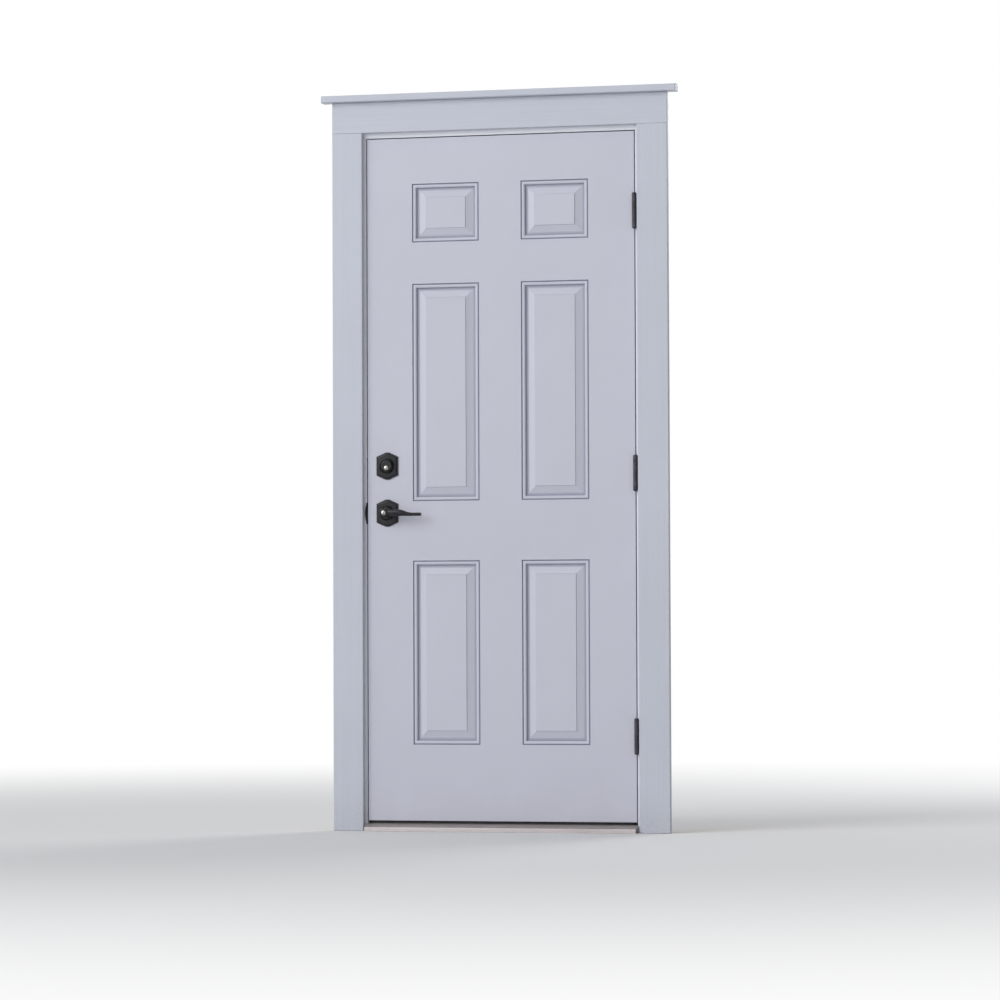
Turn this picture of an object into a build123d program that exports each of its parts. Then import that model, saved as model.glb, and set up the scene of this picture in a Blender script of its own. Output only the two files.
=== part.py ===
from build123d import *
import math
import os

# Prehung front door, shown closed: a slab with six raised panels that opens
# outwards on three butt hinges, in its rabbeted frame with flat outside trim,
# an aluminium threshold, a key-in lever latch and a deadbolt.
#
# Millimetres. X runs across the doorway, +X to the hinges. Y runs into the
# house. Z is up. The origin is in the middle of the doorway, on the plane of
# the wall's outer face, at the underside of the sill.

# Slab
slab_width = 806
slab_height = 2007
slab_thickness = 44.5
skin_thickness = 2
lock_stile_width = 35
hinge_stile_width = 38
inner_rail_height = 35

# Panel layout on the slab's faces, from the bottom up
stile_face = 137
mullion_face = 126
bottom_rail_face = 222.2
bottom_panel_height = 540.1
lock_rail_face = 174.3
frieze_rail_face = 121.7
top_panel_height = 173.6
top_rail_face = 134.7

# Moulding round each panel: run is measured inwards from the panel's outer
# line, and depth from the slab's face
quirk_run = 1.2
quirk_depth = 2.6
crest_start_run = 4
crest_end_run = 8
crest_depth = 1
bead_end_run = 13
bead_end_depth = 4.6
groove_start_run = 15.5
groove_end_run = 22
groove_depth = 7.5
bevel_end_run = 41
bevel_end_depth = 2.8
field_run = 42
field_depth = 1
back_lead = 3
back_floor_run = 10
cutter_lift = 1

# Gaps round the closed slab
side_gap = 3
head_gap = 3
floor_gap = 8
seal_clearance = 0.3

# Frame
jamb_depth = 116
jamb_thickness = 19
stop_height = 12.7
seal_space = 6.3
kerf_width = 3.2
kerf_depth = 9.5
kerf_from_rabbet = 4.7

# Weatherstrip in the kerf
seal_width = 10
seal_from_stop_edge = 1.2
seal_corner = 2
barb_clearance = 0.25
barb_end_gap = 1

# Threshold and the sill that it covers
deck_height = 22
deck_front = 2
nose_front = 38
nose_height = 11
nose_corner = 2.5
bumper_wall_gap = 3.1
bumper_wall_height = 18
bumper_wall_lean = 2
bumper_wall_thickness = 12
inner_slope_height = 13
threshold_wall = 2.2
tread_count = 5
tread_pitch = 6
tread_width = 2.4
tread_depth = 1.1
tread_first = 9
bumper_height = 8
bumper_rise = 10
bumper_corner = 1

# Outside trim
trim_thickness = 19
trim_width = 91
side_reveal = 8
head_reveal = 15
cap_thickness = 20
cap_overhang = 29
cap_projection = 39
cap_edge = 2
trim_edge = 1.5

# Hinges
hinge_height = 101.6
hinge_leaf_thickness = 2.5
hinge_leaf_depth = 38
knuckle_radius = 6.5
knuckle_count = 3
knuckle_gap = 0.2
knuckle_stand_off = 8
leaf_proud = 0.5
pin_radius = 3.1
pin_running_clearance = 0.05
pin_fixed_clearance = 0.02
pin_proud = 2.4
top_hinge_drop = 233
bottom_hinge_rise = 248.5

# Lock places
backset = 60
lever_height = 902.5
bolt_rise = 132.5
cross_bore_radius = 27
edge_bore_radius = 12.7
lock_block_width = 84
lock_block_margin = 98.75

# Roses
rose_width = 65.5
rose_side = 55
rose_height = 80
crown_width = 10
rose_base_thickness = 4
rose_step_inset = 4.5
rose_step_thickness = 3
rose_clearance = 0.06

# Levers
lever_hub_radius = 12.5
lever_projection = 47
lever_set_back = 2
lever_length = 111
lever_under = 10
lever_blade_height = 10
lever_blade_start = 80
lever_shoulder_start = 46
lever_root_thickness = 15
lever_tip_thickness = 10
lever_corner = 3
lever_tip_return = 4
spindle_size = 8
spindle_clearance = 0.1
spindle_end = 28

# Key plugs and the turn button
plug_radius = 7.5
plug_clearance = 0.06
plug_length = 18
plug_proud = 0.6
keyway_width = 1.8
keyway_height = 8
keyway_depth = 14
keyway_drop = 1
button_radius = 5.5
button_proud = 5
button_grip_width = 3
button_grip_depth = 3

# Spring latch
latch_projection = 11.8
latch_throw = 12
lever_swing = 50
latch_head_width = 12.4
latch_head_height = 16
latch_head_length = 28
latch_flat = 3
case_wall = 1.2
case_end_gap = 2
faceplate_width = 25.4
faceplate_height = 57.2
faceplate_thickness = 2.5
bolt_guide_clearance = 0.2
cam_hub_radius = 8
cam_thickness = 3
cam_arm_width = 4
cam_arm_past_tip = 2
cam_clearance = 0.6
tail_offset = 2
tail_thickness = 2.4
latch_tail_low = 6
latch_tail_height = 2
latch_lug_thickness = 2.5
latch_lug_low = 12.5
latch_lug_top = 17.6

# Deadbolt
bolt_throw = 25.4
turn_swing = 90
bolt_width = 14
bolt_section_height = 16.5
bolt_length = 31.8
bolt_set_back = 0.2
bolt_edge = 1.2
bolt_tail_top = 6.4
bolt_tail_height = 2
fork_width = 10
fork_end = 20
fork_slot_top = 10
fork_slot_width = 5.8
drive_pin_size = 3.2
turn_hub_radius = 6
tailpiece_width = 6
tailpiece_thickness = 2.4
cylinder_rise = 6
cylinder_radius = 17
cylinder_projection = 16
turn_boss_radius = 8
turn_boss_length = 16
turn_grip_length = 36
turn_grip_width = 13
turn_grip_depth = 13
turn_grip_corner = 4

# Strikes
strike_height = 63
strike_depth = 34
strike_thickness = 2
strike_hole_margin = 2
lip_height = 57
lip_outer_radius = 4.5
dust_box_depth = 14
dust_box_wall = 1.2
dust_box_margin = 3.2
bolt_strike_front = 5
bolt_hole_radius = 14

# Door sweep under the slab
sweep_thickness = 26
sweep_body_height = 2.6
sweep_fin_count = 3
sweep_fin_thickness = 1.6
sweep_clearance = 0.6
sweep_side_gap = 8

slab_bottom = deck_height + floor_gap
slab_top = slab_bottom + slab_height
slab_edge = slab_width / 2
core_depth = slab_thickness / 2
rabbet_face = slab_edge + side_gap
jamb_outer = rabbet_face + jamb_thickness
stop_face = rabbet_face - stop_height
stop_front = slab_thickness + seal_space
head_face = slab_top + head_gap
head_top = head_face + jamb_thickness
lock_x = backset - slab_edge
lever_z = slab_bottom + lever_height
bolt_z = lever_z + bolt_rise
trim_inner = rabbet_face + side_reveal
trim_outer = trim_inner + trim_width
head_trim_bottom = head_face + head_reveal
head_trim_top = head_trim_bottom + trim_width
hinge_x = slab_edge + side_gap / 2
latch_cam_radius = latch_throw / (2 * math.sin(math.radians(lever_swing / 2)))
bolt_cam_radius = bolt_throw / (2 * math.sin(math.radians(turn_swing / 2)))
tailpiece_front = plug_length + plug_clearance + cam_clearance - cylinder_projection

hinge_places = {
    "top": slab_top - top_hinge_drop,
    "middle": (slab_top - top_hinge_drop + slab_bottom + bottom_hinge_rise) / 2,
    "bottom": slab_bottom + bottom_hinge_rise,
}

inside = Plane.XZ.offset(-core_depth)


def block(x, y, z):
    """A box between two values on each axis."""
    size = (x[1] - x[0], y[1] - y[0], z[1] - z[0])
    centre = Vector((x[0] + x[1]) / 2, (y[0] + y[1]) / 2, (z[0] + z[1]) / 2)
    return Pos(centre) * Box(*size)


def rod_x(radius, x, y, z):
    """A cylinder along X between two values."""
    return Pos((x[0] + x[1]) / 2, y, z) * Rot(0, 90, 0) * Cylinder(radius, x[1] - x[0])


def rod_y(radius, x, y, z):
    """A cylinder along Y between two values."""
    return Pos(x, (y[0] + y[1]) / 2, z) * Rot(90, 0, 0) * Cylinder(radius, y[1] - y[0])


def across(sketch, x):
    """A sketch drawn as (y, z) on a plane facing +X, pushed out between two values."""
    plane = Plane(origin=(x[0], 0, 0), x_dir=(0, 1, 0), z_dir=(1, 0, 0))
    return extrude(plane * sketch, x[1] - x[0])


def upright(sketch, z):
    """A sketch drawn as (x, y), pushed up between two heights."""
    return extrude(Pos(0, 0, z[0]) * sketch, z[1] - z[0])


# Panels

def panel_boxes():
    """Corner and size of each panel, seen from outside, as (x, z, width, height)."""
    width = (slab_width - 2 * stile_face - mullion_face) / 2
    middle_height = slab_height - top_rail_face - top_panel_height - frieze_rail_face
    middle_height -= lock_rail_face + bottom_panel_height + bottom_rail_face
    rows = []
    z = slab_bottom + bottom_rail_face
    for height, rail in [
        (bottom_panel_height, lock_rail_face),
        (middle_height, frieze_rail_face),
        (top_panel_height, top_rail_face),
    ]:
        rows.append((z, height))
        z += height + rail
    return [
        (x, z, width, height)
        for x in (stile_face - slab_edge, mullion_face / 2)
        for z, height in rows
    ]


def moulding_front():
    """What is cut out of the slab's face round a panel, as a section of (run, depth)."""
    section = Polyline(
        (0, -cutter_lift),
        (0, 0),
        (quirk_run, quirk_depth),
        (crest_start_run, crest_depth),
        (crest_end_run, crest_depth),
        (bead_end_run, bead_end_depth),
        (groove_start_run, groove_depth),
        (groove_end_run, groove_depth),
        (bevel_end_run, bevel_end_depth),
        (field_run, field_depth),
        (field_run, -cutter_lift),
        close=True,
    )
    return make_face(section), field_depth


def moulding_back():
    """The back of the skin behind that moulding: a plain channel that clears it."""
    floor = groove_depth + skin_thickness
    inner_run = field_run + 2 * back_lead
    section = Polyline(
        (-back_lead, skin_thickness / 2),
        (-back_lead, skin_thickness),
        (back_floor_run, floor),
        (groove_end_run, floor),
        (inner_run, field_depth + skin_thickness),
        (inner_run, skin_thickness / 2),
        close=True,
    )
    return make_face(section), field_depth + skin_thickness


def panel_relief(section, width, height, low, field):
    """The section taken round one panel with mitred corners, and the field inside it."""
    profile = Plane(origin=(0, height / 2, 0), x_dir=(1, 0, 0), z_dir=(0, 1, 0)) * section
    start = section.bounding_box().min.X
    right = width - start
    top = height - start
    path = Polyline(
        (start, height / 2), (start, top), (right, top), (right, start), (start, start), close=True
    )
    ring = sweep(profile, path=path, transition=Transition.RIGHT)
    reach = section.bounding_box().max.X
    middle = Pos(width / 2, height / 2, -(low + field) / 2) * Box(
        width - 2 * reach, height - 2 * reach, field - low
    )
    return ring + middle


def reliefs(section_and_field):
    """All six panels' reliefs on the slab's outer face."""
    section, field = section_and_field
    low = section.bounding_box().min.Y
    return [
        Plane(origin=(x, 0, z), x_dir=(1, 0, 0), z_dir=(0, -1, 0))
        * panel_relief(section, width, height, low, field)
        for x, z, width, height in panel_boxes()
    ]


# Slab

def slab_holes():
    """The cross bores for the lever and the deadbolt."""
    through = (-cutter_lift, slab_thickness + cutter_lift)
    return [
        rod_y(cross_bore_radius, lock_x, through, lever_z),
        rod_y(cross_bore_radius, lock_x, through, bolt_z),
    ]


def edge_holes():
    """The bores in the lock edge, from the slab's edge to the cross bores."""
    return [
        rod_x(edge_bore_radius, (-slab_edge, lock_x), core_depth, z)
        for z in (lever_z, bolt_z)
    ]


def faceplate(z):
    return block(
        (-slab_edge, faceplate_thickness - slab_edge),
        (core_depth - faceplate_width / 2, core_depth + faceplate_width / 2),
        (z - faceplate_height / 2, z + faceplate_height / 2),
    )


def leaf_recesses(side):
    """The hinge leaves' mortises in the jamb or, with side -1, in the slab's edge."""
    return [hinge_plate(side, z) for z in hinge_places.values()]


def moulded_skin():
    """The outer face of the slab with its panels, before the hinge mortises."""
    sheet = block((-slab_edge, slab_edge), (0, skin_thickness), (slab_bottom, slab_top))
    skin = sheet + reliefs(moulding_back())
    return skin - reliefs(moulding_front()) - slab_holes()


def exterior_skin():
    return moulded_skin() - leaf_recesses(-1)


def interior_skin():
    return mirror(moulded_skin(), about=inside)


def hinge_stile():
    stile = block(
        (slab_edge - hinge_stile_width, slab_edge),
        (skin_thickness, slab_thickness - skin_thickness),
        (slab_bottom, slab_top),
    )
    return stile - leaf_recesses(-1)


def lock_stile():
    stile = block(
        (-slab_edge, lock_stile_width - slab_edge),
        (skin_thickness, slab_thickness - skin_thickness),
        (slab_bottom, slab_top),
    )
    return stile - edge_holes() - slab_holes() - [faceplate(lever_z), faceplate(bolt_z)]


def inner_rail(z):
    return block(
        (lock_stile_width - slab_edge, slab_edge - hinge_stile_width),
        (skin_thickness, slab_thickness - skin_thickness),
        z,
    )


def lock_block_box(grow=0):
    x = lock_stile_width - slab_edge
    return block(
        (x, x + lock_block_width),
        (skin_thickness - grow, slab_thickness - skin_thickness + grow),
        (lever_z - lock_block_margin, bolt_z + lock_block_margin),
    )


def lock_block():
    return lock_block_box() - slab_holes()


def foam_core():
    core = inner_rail((slab_bottom + inner_rail_height, slab_top - inner_rail_height))
    core -= lock_block_box(cutter_lift)
    hollows = reliefs(moulding_back())
    core -= hollows
    return core - [mirror(hollow, about=inside) for hollow in hollows]


def door_sweep():
    """A vinyl strip with fins that close on the threshold's deck."""
    reach = slab_edge - sweep_side_gap
    middle = core_depth
    outline = Pos(middle, slab_bottom) * Rectangle(
        sweep_thickness, sweep_body_height, align=(Align.CENTER, Align.MAX)
    )
    fin_height = floor_gap - sweep_clearance
    pitch = (sweep_thickness - sweep_fin_thickness) / (sweep_fin_count - 1)
    for i in range(sweep_fin_count):
        y = middle + (i - (sweep_fin_count - 1) / 2) * pitch
        outline += Pos(y, slab_bottom) * Rectangle(
            sweep_fin_thickness, fin_height, align=(Align.CENTER, Align.MAX)
        )
    return across(outline, (-reach, reach))


# Frame

def jamb_outline():
    """A jamb's section as (distance in from the rabbet face, y), with the seal's kerf."""
    thin = Rectangle(jamb_thickness, jamb_depth, align=(Align.MAX, Align.MIN))
    stop = Pos(0, stop_front) * Rectangle(
        stop_height, jamb_depth - stop_front, align=(Align.MIN, Align.MIN)
    )
    kerf = Pos(kerf_from_rabbet, stop_front) * Rectangle(
        kerf_width, kerf_depth, align=(Align.CENTER, Align.MIN)
    )
    return thin + stop - kerf


def side_jamb():
    """The jamb on the hinge side, before its mortises."""
    outline = Pos(rabbet_face, 0) * mirror(jamb_outline(), about=Plane.YZ)
    return upright(outline, (0, head_top))


def hinge_jamb():
    return side_jamb() - leaf_recesses(1)


def strike_jamb():
    jamb = mirror(side_jamb(), about=Plane.YZ)
    jamb -= [strike_blank(lever_z, 0), strike_blank(bolt_z, bolt_strike_front)]
    x = (-jamb_outer - cutter_lift, -rabbet_face)
    jamb -= rod_x(bolt_hole_radius, x, core_depth, bolt_z)
    return jamb - dust_box_space(0)


def head_jamb():
    section = Rot(0, 0, 90) * jamb_outline()
    section = Pos(0, head_face) * mirror(section, about=Plane.XZ)
    section = mirror(section, about=Plane.YZ)
    head = across(section, (-rabbet_face, rabbet_face))
    return head - stop_corners((head_face - 2 * stop_height, head_top + cutter_lift))


def stop_corners(z):
    """The spaces that the side jambs' stops take out of whatever runs between them."""
    y = (stop_front, jamb_depth + nose_front)
    return [
        block((stop_face, rabbet_face + cutter_lift), y, z),
        block((-rabbet_face - cutter_lift, -stop_face), y, z),
    ]


def seal_outline(with_barb=True):
    """The weatherstrip's section, drawn like the jamb's."""
    thickness = seal_space - seal_clearance
    left = stop_height - seal_from_stop_edge - seal_width
    bulb = Pos(left, stop_front - thickness) * Rectangle(
        seal_width, thickness, align=(Align.MIN, Align.MIN)
    )
    bulb = chamfer(bulb.vertices().group_by(Axis.Y)[0], seal_corner)
    if not with_barb:
        return bulb
    barb = Pos(kerf_from_rabbet, stop_front) * Rectangle(
        kerf_width - 2 * barb_clearance, kerf_depth - barb_end_gap, align=(Align.CENTER, Align.MIN)
    )
    return bulb + barb


def seal_head_low():
    return head_face - (stop_height - seal_from_stop_edge)


def weatherstrip_hinge_side():
    outline = Pos(rabbet_face, 0) * mirror(seal_outline(), about=Plane.YZ)
    return upright(outline, (deck_height + bumper_wall_height, seal_head_low()))


def weatherstrip_head():
    def along_head(outline, reach):
        section = mirror(Rot(0, 0, 90) * outline, about=Plane.XZ)
        section = mirror(Pos(0, head_face) * section, about=Plane.YZ)
        return across(section, (-reach, reach))

    reach = stop_face + seal_from_stop_edge + seal_width
    return along_head(seal_outline(False), reach) + along_head(seal_outline(), stop_face)


def threshold_outline():
    """The threshold's outer shape as (y, z), down to the floor."""
    wall_front = slab_thickness + bumper_wall_gap
    wall_top = deck_height + bumper_wall_height
    outline = make_face(
        Polyline(
            (-nose_front, 0),
            (-nose_front, nose_height),
            (deck_front, deck_height),
            (wall_front, deck_height),
            (wall_front, wall_top),
            (wall_front + bumper_wall_thickness, wall_top),
            (wall_front + bumper_wall_thickness + bumper_wall_lean, deck_height),
            (jamb_depth, inner_slope_height),
            (jamb_depth, 0),
            close=True,
        )
    )
    nose = outline.vertices().sort_by_distance((-nose_front, nose_height))[0]
    return chamfer(nose, nose_corner)


def threshold_treads():
    """Grooves across the sloping nose."""
    rise = deck_height - nose_height
    run = nose_front + deck_front
    angle = math.degrees(math.atan2(rise, run))
    grooves = []
    for i in range(tread_count):
        along = tread_first + i * tread_pitch
        y = along * run / math.hypot(rise, run) - nose_front
        z = nose_height + along * rise / math.hypot(rise, run)
        groove = Rectangle(tread_width, 2 * tread_depth)
        grooves.append(Pos(y, z) * Rot(0, 0, angle) * groove)
    return grooves


def threshold_hollow():
    """Everything under the threshold's wall, below the floor as well."""
    below = Rectangle(jamb_depth + nose_front, deck_height, align=(Align.MIN, Align.MAX))
    whole = threshold_outline() + Pos(-nose_front, 0) * below
    return offset(whole, -threshold_wall, kind=Kind.INTERSECTION)


def threshold():
    section = threshold_outline() - threshold_hollow() - threshold_treads()
    deck = across(section, (-rabbet_face, rabbet_face))
    return deck - stop_corners((-cutter_lift, head_face))


def sill_base():
    """The solid sill under the threshold, flat on the floor."""
    band = Pos(-nose_front, 0) * Rectangle(
        jamb_depth + nose_front, deck_height - threshold_wall, align=(Align.MIN, Align.MIN)
    )
    sill = across(threshold_hollow() & band, (-rabbet_face, rabbet_face))
    return sill - stop_corners((-cutter_lift, head_face))


def threshold_bumper():
    """The soft strip on the threshold's wall that the closed slab meets."""
    low = slab_bottom + bumper_rise - bumper_height
    thickness = bumper_wall_gap - seal_clearance
    outline = Pos(slab_thickness + bumper_wall_gap, low) * Rectangle(
        thickness, bumper_height, align=(Align.MAX, Align.MIN)
    )
    outline = chamfer(outline.vertices().group_by(Axis.X)[0], bumper_corner)
    return across(outline, (-stop_face, stop_face))


# Outside trim

def casing_right():
    leg = block((trim_inner, trim_outer), (-trim_thickness, 0), (0, head_trim_bottom))
    return chamfer(leg.edges().filter_by(Axis.Z).group_by(Axis.Y)[0], trim_edge)


def casing_head():
    head = block(
        (-trim_outer, trim_outer), (-trim_thickness, 0), (head_trim_bottom, head_trim_top)
    )
    ends = head.edges().filter_by(Axis.Z).group_by(Axis.Y)[0]
    return chamfer(ends, trim_edge)


def casing_cap():
    reach = trim_outer + cap_overhang
    cap = block(
        (-reach, reach), (-cap_projection, 0), (head_trim_top, head_trim_top + cap_thickness)
    )
    front = cap.faces().sort_by(Axis.Y)[0].edges()
    return chamfer(front, cap_edge)


# Hinges

def beside_pin(shape, side, z):
    """Moves a piece drawn round the pin's axis to its hinge, and turns it to its side."""
    if side < 0:
        shape = mirror(shape, about=Plane.YZ)
    return Pos(hinge_x, -knuckle_stand_off, z) * shape


def hinge_plate(side, z):
    """One leaf's plate: side is 1 on the jamb and -1 on the slab."""
    x = (side_gap / 2, side_gap / 2 + hinge_leaf_thickness)
    y = (knuckle_stand_off - leaf_proud, knuckle_stand_off + hinge_leaf_depth)
    return beside_pin(block(x, y, (-hinge_height / 2, hinge_height / 2)), side, z)


def hinge_leaf(side, z):
    """A leaf with every other knuckle, the jamb's leaf holding the first and last."""
    x = (side_gap / 2, side_gap / 2 + hinge_leaf_thickness)
    pitch = hinge_height / knuckle_count
    leaf = Part()
    for i in range(0 if side > 0 else 1, knuckle_count, 2):
        low = -hinge_height / 2 + i * pitch + knuckle_gap / 2
        high = low + pitch - knuckle_gap
        ring = Pos(0, 0, (low + high) / 2) * Cylinder(knuckle_radius, high - low)
        leaf += ring + block(x, (0, knuckle_stand_off), (low, high))
    clearance = pin_fixed_clearance if side > 0 else pin_running_clearance
    leaf -= Cylinder(pin_radius + clearance, 2 * hinge_height)
    return hinge_plate(side, z) + beside_pin(leaf, side, z)


def hinge_pin(z):
    return beside_pin(Cylinder(pin_radius, hinge_height + 2 * pin_proud), 1, z)


# Roses

def rose_outline():
    """Upright sides, and slopes that meet in a narrow crown at the top and the bottom."""
    crown = (crown_width / 2, rose_height / 2)
    corner = (rose_width / 2, rose_side / 2)
    corners = [(-crown[0], crown[1]), crown, corner, (corner[0], -corner[1])]
    corners += [(-x, -y) for x, y in corners]
    return make_face(Polyline(*corners, close=True))


def rose(z, hole_radius):
    """A stepped rose on the slab's outer face."""
    plate = extrude(rose_outline(), rose_base_thickness)
    step = offset(rose_outline(), -rose_step_inset, kind=Kind.INTERSECTION)
    plate += Pos(0, 0, rose_base_thickness) * extrude(step, rose_step_thickness)
    plate -= extrude(Circle(hole_radius), rose_base_thickness + rose_step_thickness)
    return Plane(origin=(lock_x, 0, z), x_dir=(1, 0, 0), z_dir=(0, -1, 0)) * plate


def lever_rose_exterior():
    return rose(lever_z, lever_hub_radius + rose_clearance)


def lever_rose_interior():
    return mirror(lever_rose_exterior(), about=inside)


def deadbolt_rose_exterior():
    return rose(bolt_z + cylinder_rise, cylinder_radius + rose_clearance)


def deadbolt_rose_interior():
    return mirror(rose(bolt_z, turn_boss_radius + rose_clearance), about=inside)


# Levers

def lever_section(x, top, thickness, y):
    """One section of the handle at x, from the flat underside up to top."""
    height = top + lever_under
    outline = Rectangle(thickness, height)
    outline = chamfer(outline.vertices(), lever_corner)
    plane = Plane(
        origin=(lock_x + x, y, lever_z + top - height / 2), x_dir=(0, 1, 0), z_dir=(1, 0, 0)
    )
    return plane * outline


def lever_body(bore_radius):
    """The outside lever: a round hub and a handle that thins to a flat-bottomed blade."""
    hub = rod_y(lever_hub_radius, lock_x, (-lever_projection, 0), lever_z)
    centre = lever_root_thickness / 2 + lever_set_back - lever_projection
    blade_top = lever_blade_height - lever_under
    tip_y = centre + lever_tip_return
    lever = hub + loft(
        [
            lever_section(0, lever_under, lever_root_thickness, centre),
            lever_section(lever_shoulder_start, lever_under, lever_root_thickness, centre),
            lever_section(lever_blade_start, blade_top, lever_tip_thickness, centre),
            lever_section(lever_length, blade_top, lever_tip_thickness, tip_y),
        ],
        ruled=True,
    )
    lever -= spindle_blank(spindle_clearance, (-spindle_end, cutter_lift))
    y = (-lever_projection, plug_length - lever_projection)
    return lever - rod_y(bore_radius, lock_x, y, lever_z)


def spindle_blank(clearance, y):
    half = spindle_size / 2 + clearance
    return block((lock_x - half, lock_x + half), y, (lever_z - half, lever_z + half))


def lever_exterior():
    return lever_body(plug_radius + plug_clearance)


def lever_interior():
    return mirror(lever_body(button_radius + plug_clearance), about=inside)


def spindle():
    return spindle_blank(0, (-spindle_end, slab_thickness + spindle_end))


def latch_cam():
    """A hub on the spindle whose arm draws the latch back."""
    angle = 90 + lever_swing / 2
    hub = cam(lever_z, angle, latch_cam_radius + cam_arm_past_tip, cam_hub_radius)
    return hub - spindle_blank(spindle_clearance, (0, slab_thickness))


def cam(z, angle, length, hub_radius):
    """A flat cam round the lock's axis: a six-sided hub and an arm."""
    arm = Rot(0, 0, angle) * Pos(length / 2, 0) * Rectangle(length, cam_arm_width)
    outline = RegularPolygon(hub_radius, 6) + arm
    plane = Plane(
        origin=(lock_x, core_depth + cam_thickness / 2, z), x_dir=(1, 0, 0), z_dir=(0, -1, 0)
    )
    return extrude(plane * outline, cam_thickness)


# Key plugs and the turn button

def key_plug(z, face):
    """A brass plug with its keyway, a little proud of the face that holds it."""
    plug = rod_y(plug_radius, lock_x, (face - plug_proud, face + plug_length - plug_clearance), z)
    low = z - keyway_drop - keyway_height / 2
    slot = block(
        (lock_x - keyway_width / 2, lock_x + keyway_width / 2),
        (face - plug_proud, face + keyway_depth),
        (low, low + keyway_height),
    )
    return plug - slot


def lock_button():
    end = slab_thickness + lever_projection
    y = (end - plug_length + plug_clearance, end + button_proud)
    button = rod_y(button_radius, lock_x, y, lever_z)
    for side in (-1, 1):
        near = side * button_grip_width / 2
        far = side * 2 * button_radius
        button -= block(
            (lock_x + min(near, far), lock_x + max(near, far)),
            (end + button_proud - button_grip_depth, end + 2 * button_proud),
            (lever_z - 2 * button_radius, lever_z + 2 * button_radius),
        )
    return button


# Spring latch

def bolt_case(z, width, height):
    """Sheet case and faceplate of a bolt, with the bolt's own section cut right through."""
    end = lock_x - cross_bore_radius - case_end_gap
    box = bolt_section(z, width, height, (faceplate_thickness - slab_edge, end), case_wall)
    case = faceplate(z) + box
    return case - bolt_section(z, width, height, (-slab_edge, end), bolt_guide_clearance)


def bolt_section(z, width, height, x, clearance):
    half = (width / 2 + clearance, height / 2 + clearance)
    return block(x, (core_depth - half[0], core_depth + half[0]), (z - half[1], z + half[1]))


def latch_case():
    return bolt_case(lever_z, latch_head_width, latch_head_height)


def tail_depth():
    """The tail bars pass the cams on their inner side."""
    return (core_depth + tail_offset, core_depth + tail_offset + tail_thickness)


def latch_bolt():
    """The bevelled head, its tail bar past the cam, and the lug that the cam pulls."""
    tip = -slab_edge - latch_projection
    back = tip + latch_head_length
    head = bolt_section(lever_z, latch_head_width, latch_head_height, (tip, back), 0)
    bevel = latch_head_width - latch_flat
    inner = core_depth + latch_head_width / 2
    wedge = make_face(
        Polyline((tip, inner - bevel), (tip + bevel, inner), (tip, inner), close=True)
    )
    head -= upright(wedge, (lever_z - latch_head_height, lever_z + latch_head_height))
    angle = math.radians(lever_swing / 2)
    arm_side = cam_arm_width / 2 / math.cos(angle) - latch_lug_low * math.tan(angle)
    push = lock_x + arm_side + cam_clearance
    end = push + latch_lug_thickness
    side = tail_depth()
    low = lever_z + latch_tail_low
    top = lever_z + latch_lug_top
    bar = block((back, end), side, (low, low + latch_tail_height))
    post = block((push, end), side, (low, top))
    finger = block(
        (push, end), (core_depth - cam_thickness / 2, side[1]), (lever_z + latch_lug_low, top)
    )
    return head + bar + post + finger


# Deadbolt

def deadbolt_case():
    return bolt_case(bolt_z, bolt_width, bolt_section_height)


def drive_pin_place():
    """Where the drive pin stands with the bolt drawn in, as (x, z) from the lock's axis."""
    angle = math.radians(turn_swing / 2)
    return bolt_cam_radius * math.cos(angle), -bolt_cam_radius * math.sin(angle)


def deadbolt_bolt():
    """The square-ended bolt, its tail bar and the fork that the drive pin slides."""
    front = bolt_set_back - slab_edge
    back = front + bolt_length
    bolt = bolt_section(bolt_z, bolt_width, bolt_section_height, (front, back), 0)
    bolt = chamfer(bolt.faces().sort_by(Axis.X)[0].edges(), bolt_edge)
    side = tail_depth()
    middle = lock_x + drive_pin_place()[0]
    top = bolt_z - bolt_tail_top
    bar = block((back, middle), side, (top - bolt_tail_height, top))
    half = fork_width / 2
    fork = block((middle - half, middle + half), side, (bolt_z - fork_end, top))
    half = fork_slot_width / 2
    slot = block((middle - half, middle + half), side, (bolt_z - fork_end, bolt_z - fork_slot_top))
    return bolt + bar + fork - slot


def thumb_turn():
    """The inside turn, its boss, the tailpiece through the slab and the cam with its pin."""
    boss_end = slab_thickness + turn_boss_length
    turn = rod_y(turn_boss_radius, lock_x, (slab_thickness, boss_end), bolt_z)
    plane = Plane(origin=(lock_x, boss_end, bolt_z), x_dir=(0, 0, 1), z_dir=(0, 1, 0))
    grip = chamfer(Rectangle(turn_grip_length, turn_grip_width).vertices(), turn_grip_corner)
    turn += extrude(plane * grip, turn_grip_depth)
    turn += block(
        (lock_x - tailpiece_thickness / 2, lock_x + tailpiece_thickness / 2),
        (tailpiece_front, slab_thickness),
        (bolt_z - tailpiece_width / 2, bolt_z + tailpiece_width / 2),
    )
    turn += cam(bolt_z, -turn_swing / 2, bolt_cam_radius + cam_arm_past_tip, turn_hub_radius)
    x, z = drive_pin_place()
    half = drive_pin_size / 2
    pin = block((-half, half), (core_depth, tail_depth()[1]), (-half, half))
    return turn + Pos(lock_x + x, 0, bolt_z + z) * Rot(0, turn_swing / 2, 0) * pin


def deadbolt_cylinder():
    """The round housing with the plug low in it, as the pins stand above the plug."""
    z = bolt_z + cylinder_rise
    housing = rod_y(cylinder_radius, lock_x, (-cylinder_projection, 0), z)
    return housing - rod_y(plug_radius + plug_clearance, lock_x, (-cylinder_projection, 0), bolt_z)


# Strikes

def strike_blank(z, front):
    """A strike's plate, let into the jamb's face from front, measured from its front edge."""
    return block(
        (-rabbet_face - strike_thickness, -rabbet_face),
        (front, front + strike_depth),
        (z - strike_height / 2, z + strike_height / 2),
    )


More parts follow.
